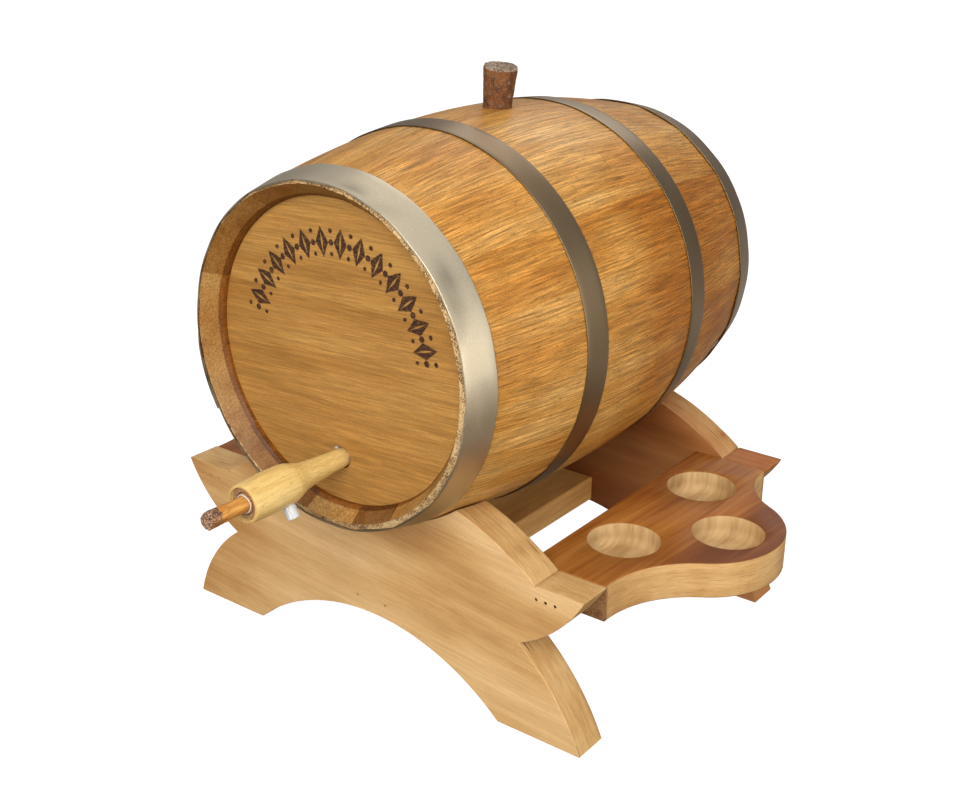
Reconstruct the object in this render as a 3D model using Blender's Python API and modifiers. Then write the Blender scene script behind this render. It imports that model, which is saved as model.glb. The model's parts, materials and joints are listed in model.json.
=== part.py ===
"""A five-litre oak barrel lying in a nailed board cradle with two cup shelves.

Metres, +Z up. The origin is on the floor, under the middle of the whole object. The barrel's axis
runs along Y, and the head with the tap faces -Y.
"""

import math

import bmesh
import bpy
from mathutils import Vector

GAP = 0.0003
CUT_REACH = 0.005

# Barrel: eighteen staves, bent so that the outside is a parabola along the axis. The tap makes the
# object longer at the front, so the barrel's middle lies behind the origin.
AXIS_HEIGHT = 0.191
BARREL_SIDE = 0.0020
BARREL_SETBACK = 0.04035
HALF_LENGTH = 0.140
BELLY_RADIUS = 0.1056
END_RADIUS = 0.0893
STAVE_COUNT = 18
STAVE_THICKNESS = 0.0116
STAVE_UNEVENNESS = math.radians(0.9)
STAVE_UNEVEN_BEAT = 2.4
STAVE_STATIONS = (0.56, 0.28)
OUTER_FACETS = 3
INNER_FACETS = 2
CHIME_RIM = 0.0028
CHIME_DEPTH = 0.0102
BELLY_FLATNESS = 0.10
END_FLATNESS = 0.75

# Heads: three boards each, held by a tongue in the groove (croze) cut round the staves.
HEAD_RECESS = 0.0122
HEAD_THICKNESS = 0.010
HEAD_PLAY = 0.0007
HEAD_BACK_BEVEL = 0.0020
HEAD_JOINT = 0.027
CROZE_DEPTH = 0.003
CROZE_START = 0.0136
CROZE_WIDTH = 0.0054
CROZE_SLOPE = 0.0005

# Hoops: a flat strip whose ends lap and are held by one rivet.
HOOP_THICKNESS = 0.0009
HEAD_HOOP = (0.1400, 0.1214)
HEAD_HOOP_FLARE = 0.0005
BILGE_HOOP = (0.0592, 0.0427)
LAP_ANGLE = math.radians(201)
LAP_HALF_SPAN = math.radians(9)
LAP_RAMP = math.radians(8)
LAP_RAMP_END = math.radians(12)
RIVET_RADIUS = 0.0015
RIVET_HEAD_RADIUS = 0.0031
RIVET_HEAD_RISE = 0.0013
RIVET_CROWN_RADIUS = 0.0017
RIVET_CROWN_DROP = 0.0002

# Bung: a tapered plug that stands above the top stave, and leans a little to the rear.
BUNG_TOP_RADIUS = 0.0095
BUNG_SEAT_RADIUS = 0.0080
BUNG_RISE = 0.0223
BUNG_DEPTH = 0.0140
BUNG_PLACE = 0.0021
BUNG_LEAN_FORWARD = math.radians(3.4)
BUNG_LEAN_ASIDE = math.radians(7.8)
BUNG_EDGE = 0.0006

# Tap: a turned wooden body, with a wooden key that turns in a plastic sleeve in a cork bush.
TAP_DROP = 0.0561
TAP_LENGTH = 0.0698
TAP_TAIL = 0.0150
TAP_MOUTH_EDGE = (0.0006, 0.0008)
TAP_SHAPE = (
    (0.0106, 0.0578),
    (0.0107, 0.0520),
    (0.0106, 0.0430),
    (0.0101, 0.0390),
    (0.0089, 0.0350),
    (0.0075, 0.0300),
    (0.0064, 0.0220),
    (0.0057, 0.0120),
    (0.0052, 0.0008),
)
TAP_MOUTH_RADIUS = 0.0101
TAP_TAIL_RADIUS = 0.0048
TAP_BORE_RADIUS = 0.0020
TAP_HOLE_RADIUS = 0.0058
BUSH_START = 0.0310
BUSH_END = 0.0683
BUSH_START_RADIUS = 0.0068
BUSH_END_RADIUS = 0.0080
SLEEVE_RADIUS = 0.0055
SLEEVE_END = 0.0694
KEY_RADIUS = 0.0041
KEY_END = 0.0929
KEY_GRIP_LENGTH = 0.0112
KEY_GRIP_RADIUS = 0.0048
KEY_GRIP_HALF_WIDTH = 0.0037
KEY_GRIP_TURN = math.radians(35)
KEY_GRIP_SWELL = 0.0003
KEY_EDGE = (0.0007, 0.0010)
KEY_CORE_RADIUS = 0.0017
KEY_PORT_RADIUS = 0.0016
SPOUT_DISTANCE = 0.0443
SPOUT_ROLL = math.radians(30)
SPOUT_RADIUS = 0.0034
SPOUT_BORE_RADIUS = 0.0024
SPOUT_REACH = 0.0170
SPOUT_SEAT = (0.003, 0.014)

# Cradle boards: heights are measured from the barrel's axis, widths from its middle plane.
BOARD_THICKNESS = 0.0208
BOARD_FACE = 0.1081
FLOOR = -AXIS_HEIGHT
ARM_START = (0.0500, -0.0739)
ARM_SLOPE_START = (0.0957, -0.0934)
ARM_CROWN = 0.0023
LEDGE_INNER = 0.1089
LEDGE_LEVEL = -0.1023
TIP = 0.1371
WAIST = (0.0992, -0.1385)
UNDERARM_BULGE = 0.0042
LEG_BULGE = 0.0040
FOOT_OUTER = 0.1387
FOOT_INNER = 0.0866
ARCH_RISE = 0.0337
LEFT_REACH = 0.0040
LEFT_WAIST = (0.1044, -0.1405)
LEFT_LEG_BULGE = 0.0053
SIDE_STEPS = 6
ARCH_STEPS = 16
SADDLE_STEPS = 96

# Cup shelves: butted between the boards, with three blind pockets in each.
SHELF_THICKNESS = 0.0203
SHELF_INNER = 0.0911
SHELF_SIDE = 0.1364
NOSE_CENTRE = (0.1385, 0.0040)
NOSE_RADIUS = 0.0466
FRONT_COVE_RADIUS = 0.0580
REAR_COVE_RADIUS = 0.0450
COVE_STEPS = 6
NOSE_STEPS = 12
POCKET_RADIUS = 0.0195
POCKET_DEPTH = 0.0120
POCKETS = ((0.1173, 0.0452), (0.1173, -0.0388), (0.1565, 0.0032))

# Rail under the barrel, and the nails.
RAIL_WIDTH = 0.0360
RAIL_TOP = -0.1410
RAIL_THICKNESS = 0.0160
NAIL_LENGTH = 0.0400
NAIL_RADIUS = 0.0009
NAIL_HEAD_RADIUS = 0.0014
NAIL_HEAD_LENGTH = 0.0010
NAIL_POINT = 0.0020
NAIL_SINK = 0.0004
NAIL_DROP = 0.0075
RIGHT_NAILS = (0.1092, 0.1149, 0.1205)
LEFT_NAILS = (-0.1175, -0.1240, -0.1305)
RAIL_NAILS = (-0.0100, 0.0100)

SHARP_ANGLE = math.radians(35)
FACING_FRONT = (math.pi / 2, 0, 0)
FACING_REAR = (-math.pi / 2, 0, 0)


def clear_scene():
    for item in list(bpy.data.objects):
        bpy.data.objects.remove(item, do_unlink=True)


def make_collection(name, hidden=False):
    group = bpy.data.collections.new(name)
    group.hide_render = hidden
    bpy.context.scene.collection.children.link(group)
    return group


def make_material(name, colour, roughness, metallic=0.0):
    material = bpy.data.materials.new(name)
    material.use_nodes = True
    shader = material.node_tree.nodes["Principled BSDF"]
    shader.inputs["Base Color"].default_value = (*colour, 1)
    shader.inputs["Roughness"].default_value = roughness
    shader.inputs["Metallic"].default_value = metallic
    material.diffuse_color = (*colour, 1)
    return material


clear_scene()
PARTS = make_collection("oak_barrel")
CUTTERS = make_collection("oak_barrel_cutters", hidden=True)
STAVE_OAK = make_material("stave_oak", (0.42, 0.20, 0.065), 0.42)
HEAD_OAK = make_material("head_oak", (0.45, 0.24, 0.09), 0.55)
HOOP_STEEL = make_material("hoop_steel", (0.34, 0.30, 0.26), 0.45, 1.0)
BUNG_WOOD = make_material("bung_wood", (0.16, 0.07, 0.035), 0.75)
TAP_WOOD = make_material("tap_wood", (0.66, 0.46, 0.20), 0.5)
TAP_CORK = make_material("tap_cork", (0.35, 0.19, 0.09), 0.9)
KEY_WOOD = make_material("key_wood", (0.55, 0.25, 0.08), 0.6)
TAP_PLASTIC = make_material("tap_plastic", (0.82, 0.82, 0.80), 0.3)
CRADLE_PINE = make_material("cradle_pine", (0.55, 0.34, 0.16), 0.55)
SHELF_PINE = make_material("shelf_pine", (0.40, 0.18, 0.07), 0.5)
NAIL_STEEL = make_material("nail_steel", (0.20, 0.17, 0.15), 0.5, 1.0)


def make_axis(name, location, parent=None, lean=(0, 0)):
    """An empty that marks a joint's axis and carries the pieces that move on it."""
    axis = bpy.data.objects.new(name, None)
    axis.location = location
    axis.rotation_euler = (*lean, 0)
    axis.parent = parent
    PARTS.objects.link(axis)
    return axis


BARREL = make_axis("barrel_axis", (BARREL_SIDE, BARREL_SETBACK, AXIS_HEIGHT))
HEAD_FACE = HALF_LENGTH - HEAD_RECESS
TAP_AXIS = make_axis("tap_axis", (0, -HEAD_FACE, -TAP_DROP), BARREL)
BUNG_AXIS = make_axis(
    "bung_axis", (0, BUNG_PLACE, BELLY_RADIUS), BARREL, (BUNG_LEAN_FORWARD, BUNG_LEAN_ASIDE)
)


def add_object(name, mesh, material, parent, location=(0, 0, 0), rotation=(0, 0, 0)):
    """A cutter has no material: it is linked to the cutters and drawn as wire."""
    item = bpy.data.objects.new(name, mesh)
    item.location = location
    item.rotation_euler = rotation
    item.parent = parent
    if material:
        mesh.materials.append(material)
        PARTS.objects.link(item)
    else:
        item.hide_render = True
        item.display_type = "WIRE"
        CUTTERS.objects.link(item)
    return item


def finish_mesh(name, shape):
    bmesh.ops.recalc_face_normals(shape, faces=shape.faces)
    mesh = bpy.data.meshes.new(name)
    shape.to_mesh(mesh)
    shape.free()
    mesh.shade_smooth()
    mesh.set_sharp_from_angle(angle=SHARP_ANGLE)
    return mesh


def loft(name, sections):
    """One closed body through rings of equally many points, with a cap on the first and the last."""
    shape = bmesh.new()
    rings = [[shape.verts.new(point) for point in section] for section in sections]
    count = len(rings[0])
    for near, far in zip(rings, rings[1:]):
        for i in range(count):
            j = (i + 1) % count
            shape.faces.new((near[i], near[j], far[j], far[i]))
    shape.faces.new(rings[0])
    shape.faces.new(rings[-1])
    return finish_mesh(name, shape)


def turned(name, profile, closed, steps, material, parent, location=(0, 0, 0), rotation=(0, 0, 0)):
    """A profile of (radius, height) turned about local Z. Its outer side runs from top to bottom."""
    shape = bmesh.new()
    verts = [shape.verts.new((radius, 0, height)) for radius, height in profile]
    pairs = list(zip(verts, verts[1:]))
    if closed:
        pairs.append((verts[-1], verts[0]))
    for pair in pairs:
        shape.edges.new(pair)
    mesh = bpy.data.meshes.new(name)
    shape.to_mesh(mesh)
    shape.free()
    item = add_object(name, mesh, material, parent, location, rotation)
    screw = item.modifiers.new("Turn", "SCREW")
    screw.steps = steps
    screw.render_steps = steps
    screw.use_merge_vertices = True
    screw.merge_threshold = 0.00001
    screw.use_smooth_shade = True
    return item


def outlined(name, points, thickness, material, parent, location=(0, 0, 0), rotation=(0, 0, 0)):
    """A flat outline in local XY, made a plate that is centred on local Z = 0."""
    curve = bpy.data.curves.new(name, "CURVE")
    curve.dimensions = "2D"
    curve.fill_mode = "BOTH"
    curve.extrude = thickness / 2
    spline = curve.splines.new("POLY")
    spline.points.add(len(points) - 1)
    for corner, (x, y) in zip(spline.points, points):
        corner.co = (x, y, 0, 1)
    spline.use_cyclic_u = True
    drawn = bpy.data.objects.new(name + "_outline", curve)
    PARTS.objects.link(drawn)
    bpy.context.view_layer.update()
    graph = bpy.context.evaluated_depsgraph_get()
    plate = bpy.data.meshes.new_from_object(drawn.evaluated_get(graph))
    shape = bmesh.new()
    shape.from_mesh(plate)
    bmesh.ops.remove_doubles(shape, verts=shape.verts, dist=0.00001)
    bpy.data.meshes.remove(plate)
    bpy.data.objects.remove(drawn, do_unlink=True)
    return add_object(name, finish_mesh(name, shape), material, parent, location, rotation)


def cylinder_cutter(
    name, radius, low, high, parent, location, rotation=(0, 0, 0), steps=24, top_radius=None
):
    """A cylinder from low to high on local Z, or a cone where the top has its own radius."""
    top = radius if top_radius is None else top_radius
    profile = [(0, high), (top, high), (radius, low), (0, low)]
    return turned(name, profile, False, steps, None, parent, location, rotation)


def box_mesh(name, low, high):
    shape = bmesh.new()
    bmesh.ops.create_cube(shape, size=1)
    size = Vector(high) - Vector(low)
    middle = (Vector(high) + Vector(low)) / 2
    bmesh.ops.scale(shape, vec=size, verts=shape.verts)
    bmesh.ops.translate(shape, vec=middle, verts=shape.verts)
    return finish_mesh(name, shape)


def combine(item, other, operation="DIFFERENCE"):
    cut = item.modifiers.new(other.name, "BOOLEAN")
    cut.operation = operation
    cut.object = other


def arc(start, end, bulge, steps):
    """Points after start, up to end, on the arc that stands out by bulge to the left of the way there."""
    start = Vector(start)
    way = Vector(end) - start
    half_angle = 2 * math.atan(2 * bulge / way.length)
    radius = way.length / 2 / math.sin(half_angle)
    along = way.normalized()
    left = Vector((-along.y, along.x))
    points = []
    for step in range(1, steps + 1):
        angle = half_angle * (2 * step / steps - 1)
        forward = way.length / 2 + radius * math.sin(angle)
        aside = radius * (math.cos(angle) - math.cos(half_angle))
        points.append(tuple(start + along * forward + left * aside))
    return points


def around(centre, radius, first, last, steps):
    """Points on a circle from the first angle to the last, in degrees."""
    angles = [math.radians(first + (last - first) * step / steps) for step in range(steps + 1)]
    return [(centre[0] + radius * math.cos(a), centre[1] + radius * math.sin(a)) for a in angles]


# ---------------------------------------------------------------- staves


def barrel_radius(y):
    return BELLY_RADIUS - (BELLY_RADIUS - END_RADIUS) * (y / HALF_LENGTH) ** 2


def joint_angles():
    """The angle of each joint between two staves: the widths differ a little, as sawn staves do."""
    step = 2 * math.pi / STAVE_COUNT
    uneven = [STAVE_UNEVENNESS * math.sin(STAVE_UNEVEN_BEAT * i) for i in range(STAVE_COUNT)]
    return [i * step + uneven[i] for i in range(STAVE_COUNT)]


def stave_limits():
    joints = joint_angles()
    return list(zip(joints, joints[1:] + [joints[0] + 2 * math.pi]))


def skin_radius(y, angle, low, high):
    """The outside radius: a stave is flatter than the circle, and more so towards the barrel's ends."""
    flatness = BELLY_FLATNESS + (END_FLATNESS - BELLY_FLATNESS) * (y / HALF_LENGTH) ** 2
    chord = math.cos((high - low) / 2) / math.cos(angle - (low + high) / 2)
    return barrel_radius(y) * (1 - flatness * (1 - chord))


def on_barrel(radius, angle, y):
    return Vector((radius * math.cos(angle), y, radius * math.sin(angle)))


def stave_stations():
    """(place along the barrel, wall thickness) from one end to the other."""
    croze_end = CROZE_START + CROZE_WIDTH
    thin = STAVE_THICKNESS - CROZE_DEPTH
    near_end = [
        (HALF_LENGTH, CHIME_RIM),
        (HALF_LENGTH - CHIME_DEPTH, STAVE_THICKNESS),
        (HALF_LENGTH - CROZE_START, STAVE_THICKNESS),
        (HALF_LENGTH - CROZE_START - CROZE_SLOPE, thin),
        (HALF_LENGTH - croze_end + CROZE_SLOPE, thin),
        (HALF_LENGTH - croze_end, STAVE_THICKNESS),
    ]
    near_end += [(HALF_LENGTH * share, STAVE_THICKNESS) for share in STAVE_STATIONS]
    front = [(-y, wall) for y, wall in near_end]
    return front + [(0, STAVE_THICKNESS)] + near_end[::-1]


def stave_section(y, wall, low, high):
    width = high - low
    outer = []
    for step in range(OUTER_FACETS + 1):
        angle = low + width * step / OUTER_FACETS
        outer.append([skin_radius(y, angle, low, high), angle])
    inner_radius = barrel_radius(y) - wall
    inner = [[inner_radius, low + width * step / INNER_FACETS] for step in range(INNER_FACETS + 1)]
    for edge in (outer, inner):
        edge[0][1] += GAP / 2 / edge[0][0]
        edge[-1][1] -= GAP / 2 / edge[-1][0]
    return [on_barrel(radius, angle, y) for radius, angle in outer + inner[::-1]]


def make_staves():
    bung_stave = None
    for number, (low, high) in enumerate(stave_limits(), 1):
        holds_bung = low < math.pi / 2 < high
        name = "bung_stave" if holds_bung else f"stave_{number:02d}"
        sections = [stave_section(y, wall, low, high) for y, wall in stave_stations()]
        stave = add_object(name, loft(name, sections), STAVE_OAK, BARREL)
        if holds_bung:
            bung_stave = stave
    return bung_stave


# ---------------------------------------------------------------- heads


def head_profile():
    """Half a section of a head: its outer face is at height 0, and a tongue stands out at the rim."""
    wall_radius = barrel_radius(HEAD_FACE) - STAVE_THICKNESS - HEAD_PLAY
    tongue_radius = wall_radius + CROZE_DEPTH
    tongue_top = HEAD_RECESS - CROZE_START - CROZE_SLOPE - GAP
    tongue_bottom = HEAD_RECESS - CROZE_START - CROZE_WIDTH + CROZE_SLOPE + GAP
    return [
        (0, 0),
        (wall_radius, 0),
        (wall_radius, tongue_top),
        (tongue_radius, tongue_top),
        (tongue_radius, tongue_bottom),
        (wall_radius, tongue_bottom),
        (wall_radius - HEAD_BACK_BEVEL, -HEAD_THICKNESS),
        (0, -HEAD_THICKNESS),
    ]


def head_slab(name, low, high):
    """A slab across the head, between two heights, that one board is cut out with."""
    reach = BELLY_RADIUS
    mesh = box_mesh(name, (-reach, -HALF_LENGTH, low), (reach, HALF_LENGTH, high))
    return add_object(name, mesh, None, BARREL)


def make_heads():
    reach = BELLY_RADIUS
    half_gap = GAP / 2
    bands = {
        "top": head_slab("head_slab_top", HEAD_JOINT + half_gap, reach),
        "middle": head_slab("head_slab_middle", -HEAD_JOINT + half_gap, HEAD_JOINT - half_gap),
        "bottom": head_slab("head_slab_bottom", -reach, -HEAD_JOINT - half_gap),
    }
    boards = {}
    for end, y, facing in (("front", -HEAD_FACE, FACING_FRONT), ("rear", HEAD_FACE, FACING_REAR)):
        for band, slab in bands.items():
            name = f"{end}_head_{band}_board"
            board = turned(name, head_profile(), False, 54, HEAD_OAK, BARREL, (0, y, 0), facing)
            combine(board, slab, "INTERSECT")
            boards[name] = board
    return boards["front_head_bottom_board"]


# ---------------------------------------------------------------- hoops


def hoop_angles():
    """Angles once round and over the lap, at the places where the staves have their outer points."""
    stops = []
    for low, high in stave_limits():
        stops += [low + (high - low) * step / OUTER_FACETS for step in range(OUTER_FACETS)]
    turn = 2 * math.pi
    stops = sorted(stops + [stop + turn for stop in stops])
    first = LAP_ANGLE - LAP_HALF_SPAN
    last = LAP_ANGLE + LAP_HALF_SPAN + turn
    return [first] + [stop for stop in stops if first < stop < last] + [last]


def hoop_lift(angle):
    """How far the strip stands off the staves: its last stretch climbs over its first."""
    ramp_start = LAP_ANGLE + 2 * math.pi - LAP_RAMP_END - LAP_RAMP
    climbed = min(max((angle - ramp_start) / LAP_RAMP, 0), 1)
    return GAP + climbed * (HOOP_THICKNESS + GAP)


def skin_radius_at(y, angle):
    angle %= 2 * math.pi
    limits = stave_limits()
    if angle < limits[0][0]:
        angle += 2 * math.pi
    low, high = next(pair for pair in limits if pair[0] <= angle <= pair[1])
    return skin_radius(y, angle, low, high)


def hoop_section(outer_edge, inner_edge, flare, angle):
    lift = hoop_lift(angle)
    inside = [
        (skin_radius_at(outer_edge, angle) + lift, outer_edge),
        (skin_radius_at(inner_edge, angle) + lift + flare, inner_edge),
    ]
    outside = [(radius + HOOP_THICKNESS, y) for radius, y in inside[::-1]]
    return [on_barrel(radius, angle, y) for radius, y in inside + outside]


def make_rivet(name, y, lift):
    """The shank fills both layers of the lap, and the head rests on the outer one."""
    radius = skin_radius_at(y, LAP_ANGLE) + lift
    slope = math.atan(2 * (BELLY_RADIUS - END_RADIUS) * abs(y) / HALF_LENGTH**2)
    lap_top = 2 * HOOP_THICKNESS + 3 * GAP
    profile = [
        (0, lap_top + RIVET_HEAD_RISE),
        (RIVET_CROWN_RADIUS, lap_top + RIVET_HEAD_RISE - RIVET_CROWN_DROP),
        (RIVET_HEAD_RADIUS, lap_top + GAP),
        (RIVET_RADIUS, lap_top + GAP),
        (RIVET_RADIUS, GAP),
        (0, GAP),
    ]
    place = on_barrel(radius, LAP_ANGLE, y)
    facing = (slope if y < 0 else -slope, math.pi / 2 - LAP_ANGLE, 0)
    turned(name, profile, False, 12, NAIL_STEEL, BARREL, place, facing)
    return cylinder_cutter(
        name + "_hole", RIVET_RADIUS + GAP / 2, -GAP, CUT_REACH, BARREL, place, facing, steps=12
    )


def make_hoops():
    for end, side in (("front", -1), ("rear", 1)):
        for kind, edges, flare in (("head", HEAD_HOOP, HEAD_HOOP_FLARE), ("bilge", BILGE_HOOP, 0)):
            name = f"{end}_{kind}_hoop"
            outer_edge, inner_edge = [side * edge for edge in edges]
            sections = [hoop_section(outer_edge, inner_edge, flare, angle) for angle in hoop_angles()]
            hoop = add_object(name, loft(name, sections), HOOP_STEEL, BARREL)
            middle = (outer_edge + inner_edge) / 2
            combine(hoop, make_rivet(name + "_rivet", middle, flare / 2))


# ---------------------------------------------------------------- bung


def bung_radius(height):
    """The taper, by height above the outside of the top stave."""
    return BUNG_SEAT_RADIUS + (BUNG_TOP_RADIUS - BUNG_SEAT_RADIUS) * height / BUNG_RISE


def make_bung(bung_stave):
    profile = [
        (0, BUNG_RISE),
        (BUNG_TOP_RADIUS - BUNG_EDGE, BUNG_RISE),
        (BUNG_TOP_RADIUS, BUNG_RISE - BUNG_EDGE),
        (bung_radius(BUNG_EDGE - BUNG_DEPTH), BUNG_EDGE - BUNG_DEPTH),
        (bung_radius(-BUNG_DEPTH) - BUNG_EDGE, -BUNG_DEPTH),
        (0, -BUNG_DEPTH),
    ]
    turned("bung", profile, False, 32, BUNG_WOOD, BUNG_AXIS)
    low = -BUNG_DEPTH - CUT_REACH
    high = CUT_REACH
    hole = cylinder_cutter(
        "bung_hole", bung_radius(low) + GAP, low, high, BUNG_AXIS, (0, 0, 0), steps=32,
        top_radius=bung_radius(high) + GAP,
    )
    combine(bung_stave, hole)


# ---------------------------------------------------------------- tap


def bush_radius(distance):
    """The cork's taper, by distance from the head's face."""
    share = (distance - BUSH_START) / (BUSH_END - BUSH_START)
    return BUSH_START_RADIUS + (BUSH_END_RADIUS - BUSH_START_RADIUS) * share


def tap_body_profile():
    """The bottle shape outside, then back through the mouth, the bush's seat and the bore."""
    seat_start = BUSH_START - GAP
    edge_width, edge_length = TAP_MOUTH_EDGE
    mouth = [
        (TAP_MOUTH_RADIUS - edge_width, TAP_LENGTH),
        (TAP_MOUTH_RADIUS, TAP_LENGTH - edge_length),
    ]
    tail = [(TAP_TAIL_RADIUS, -TAP_TAIL)]
    inside = [
        (TAP_BORE_RADIUS, -TAP_TAIL),
        (TAP_BORE_RADIUS, seat_start),
        (bush_radius(seat_start) + GAP, seat_start),
        (bush_radius(TAP_LENGTH) + GAP, TAP_LENGTH),
    ]
    return mouth + list(TAP_SHAPE) + tail + inside


def tube_profile(top_radius, bottom_radius, inner, low, high):
    return [(top_radius, high), (bottom_radius, low), (inner, low), (inner, high)]


def key_profile():
    grip_start = KEY_END - KEY_GRIP_LENGTH
    core_end = SPOUT_DISTANCE + KEY_PORT_RADIUS
    start = BUSH_START + GAP
    edge_width, edge_length = KEY_EDGE
    return [
        (0, KEY_END),
        (KEY_GRIP_RADIUS - edge_width, KEY_END),
        (KEY_GRIP_RADIUS, KEY_END - edge_length),
        (KEY_RADIUS + KEY_GRIP_SWELL, grip_start),
        (KEY_RADIUS, grip_start - edge_length),
        (KEY_RADIUS, start),
        (KEY_CORE_RADIUS, start),
        (KEY_CORE_RADIUS, core_end),
        (0, core_end),
    ]


def spout_hole(name, radius, start, end):
    """A hole that runs out from the tap's axis in the direction of the spout."""
    facing = (0, math.pi - SPOUT_ROLL, 0)
    place = (0, -SPOUT_DISTANCE, 0)
    return cylinder_cutter(name, radius, start, end, TAP_AXIS, place, facing, steps=20)


def make_key():
    key = turned("tap_key", key_profile(), False, 24, KEY_WOOD, TAP_AXIS, rotation=FACING_FRONT)
    closed = (0, math.pi / 2 - SPOUT_ROLL, 0)
    port = cylinder_cutter(
        "key_port", KEY_PORT_RADIUS, 0, CUT_REACH, TAP_AXIS, (0, -SPOUT_DISTANCE, 0), closed, steps=12
    )
    combine(key, port)
    reach = 2 * KEY_GRIP_RADIUS
    grip_start = KEY_END - KEY_GRIP_LENGTH + KEY_EDGE[1]
    for name, near, far in (
        ("key_flat_left", -reach, -KEY_GRIP_HALF_WIDTH),
        ("key_flat_right", KEY_GRIP_HALF_WIDTH, reach),
    ):
        flat_mesh = box_mesh(name, (near, -KEY_END - CUT_REACH, -reach), (far, -grip_start, reach))
        flat = add_object(name, flat_mesh, None, TAP_AXIS, rotation=(0, KEY_GRIP_TURN, 0))
        combine(key, flat)


def make_tap(head_board):
    body = turned("tap_body", tap_body_profile(), True, 32, TAP_WOOD, TAP_AXIS, rotation=FACING_FRONT)
    combine(body, spout_hole("spout_seat", SPOUT_RADIUS + GAP, *SPOUT_SEAT))
    bush_inner = SLEEVE_RADIUS + GAP
    bush = turned(
        "tap_cork_bush", tube_profile(BUSH_END_RADIUS, BUSH_START_RADIUS, bush_inner, BUSH_START, BUSH_END),
        True, 24, TAP_CORK, TAP_AXIS, rotation=FACING_FRONT,
    )
    combine(bush, spout_hole("bush_port", KEY_PORT_RADIUS, 0, SPOUT_SEAT[1]))
    sleeve = turned(
        "tap_sleeve", tube_profile(SLEEVE_RADIUS, SLEEVE_RADIUS, KEY_RADIUS + GAP, BUSH_START, SLEEVE_END),
        True, 24, TAP_PLASTIC, TAP_AXIS, rotation=FACING_FRONT,
    )
    combine(sleeve, spout_hole("sleeve_port", KEY_PORT_RADIUS, 0, SPOUT_SEAT[1]))
    spout_start = bush_radius(SPOUT_DISTANCE) + 2 * GAP
    turned(
        "tap_spout", tube_profile(SPOUT_RADIUS, SPOUT_RADIUS, SPOUT_BORE_RADIUS, spout_start, SPOUT_REACH),
        True, 20, TAP_PLASTIC, TAP_AXIS, (0, -SPOUT_DISTANCE, 0), (0, math.pi - SPOUT_ROLL, 0),
    )
    make_key()
    through = HEAD_THICKNESS + CUT_REACH
    hole = cylinder_cutter(
        "tap_hole", TAP_HOLE_RADIUS, -through, CUT_REACH, TAP_AXIS, (0, 0, 0), FACING_FRONT, steps=32
    )
    combine(head_board, hole)


# ---------------------------------------------------------------- cradle


def board_side(reach, waist, leg_bulge):
    """Half a cradle board's outline, from the saddle over the arm and down the leg to the foot."""
    tip = (TIP + reach, LEDGE_LEVEL)
    points = [ARM_START]
    points += arc(ARM_START, ARM_SLOPE_START, ARM_CROWN, SIDE_STEPS)
    points += [(LEDGE_INNER, LEDGE_LEVEL), tip]
    points += arc(tip, waist, UNDERARM_BULGE, SIDE_STEPS)
    points += arc(waist, (FOOT_OUTER, FLOOR), leg_bulge, SIDE_STEPS)
    points += [(FOOT_INNER, FLOOR)]
    return points


def board_outline():
    right = board_side(0, WAIST, LEG_BULGE)
    left = [(-x, z) for x, z in board_side(LEFT_REACH, LEFT_WAIST, LEFT_LEG_BULGE)]
    arch = arc((FOOT_INNER, FLOOR), (-FOOT_INNER, FLOOR), -ARCH_RISE, ARCH_STEPS)
    return right + arch[:-1] + left[::-1]


def make_boards():
    """Each board's saddle is bored to the barrel's taper, so the staves lie on its full thickness."""
    boards = []
    low = BOARD_FACE - BOARD_THICKNESS - CUT_REACH
    high = BOARD_FACE + CUT_REACH
    for end, side, facing in (("front", -1, FACING_FRONT), ("rear", 1, FACING_REAR)):
        name = f"{end}_cradle_board"
        middle = side * (BOARD_FACE - BOARD_THICKNESS / 2)
        board = outlined(
            name, board_outline(), BOARD_THICKNESS, CRADLE_PINE, BARREL, (0, middle, 0), FACING_FRONT
        )
        saddle = cylinder_cutter(
            f"{end}_saddle", barrel_radius(low) + GAP, low, high, BARREL, (0, 0, 0), facing,
            steps=SADDLE_STEPS, top_radius=barrel_radius(high) + GAP,
        )
        combine(board, saddle)
        boards.append(board)
    return boards


def cove_place(radius):
    """Centre of a cove that touches the shelf's straight side and its nose, from the nose's centre."""
    across = SHELF_SIDE + radius - NOSE_CENTRE[0]
    along = math.sqrt((NOSE_RADIUS + radius) ** 2 - across**2)
    return across, along, math.degrees(math.atan2(along, across))


def shelf_outline(side, reach):
    """Two straight ends, two coves and a round nose; the nose sits a little behind the middle."""
    half_span = BOARD_FACE - BOARD_THICKNESS - GAP
    side_x = SHELF_SIDE + reach
    nose_x, nose_y = NOSE_CENTRE[0] + reach, NOSE_CENTRE[1]
    front_x, front_y, front_swing = cove_place(FRONT_COVE_RADIUS)
    rear_x, rear_y, rear_swing = cove_place(REAR_COVE_RADIUS)
    front_centre = (nose_x + front_x, nose_y - front_y)
    rear_centre = (nose_x + rear_x, nose_y + rear_y)
    points = [(SHELF_INNER, half_span), (SHELF_INNER, -half_span), (side_x, -half_span)]
    points += around(front_centre, FRONT_COVE_RADIUS, 180, 180 - front_swing, COVE_STEPS)
    points += around((nose_x, nose_y), NOSE_RADIUS, -front_swing, rear_swing, NOSE_STEPS)[1:]
    points += around(rear_centre, REAR_COVE_RADIUS, 180 + rear_swing, 180, COVE_STEPS)[1:]
    points += [(side_x, half_span)]
    return [(side * x, y) for x, y in points]


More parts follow.
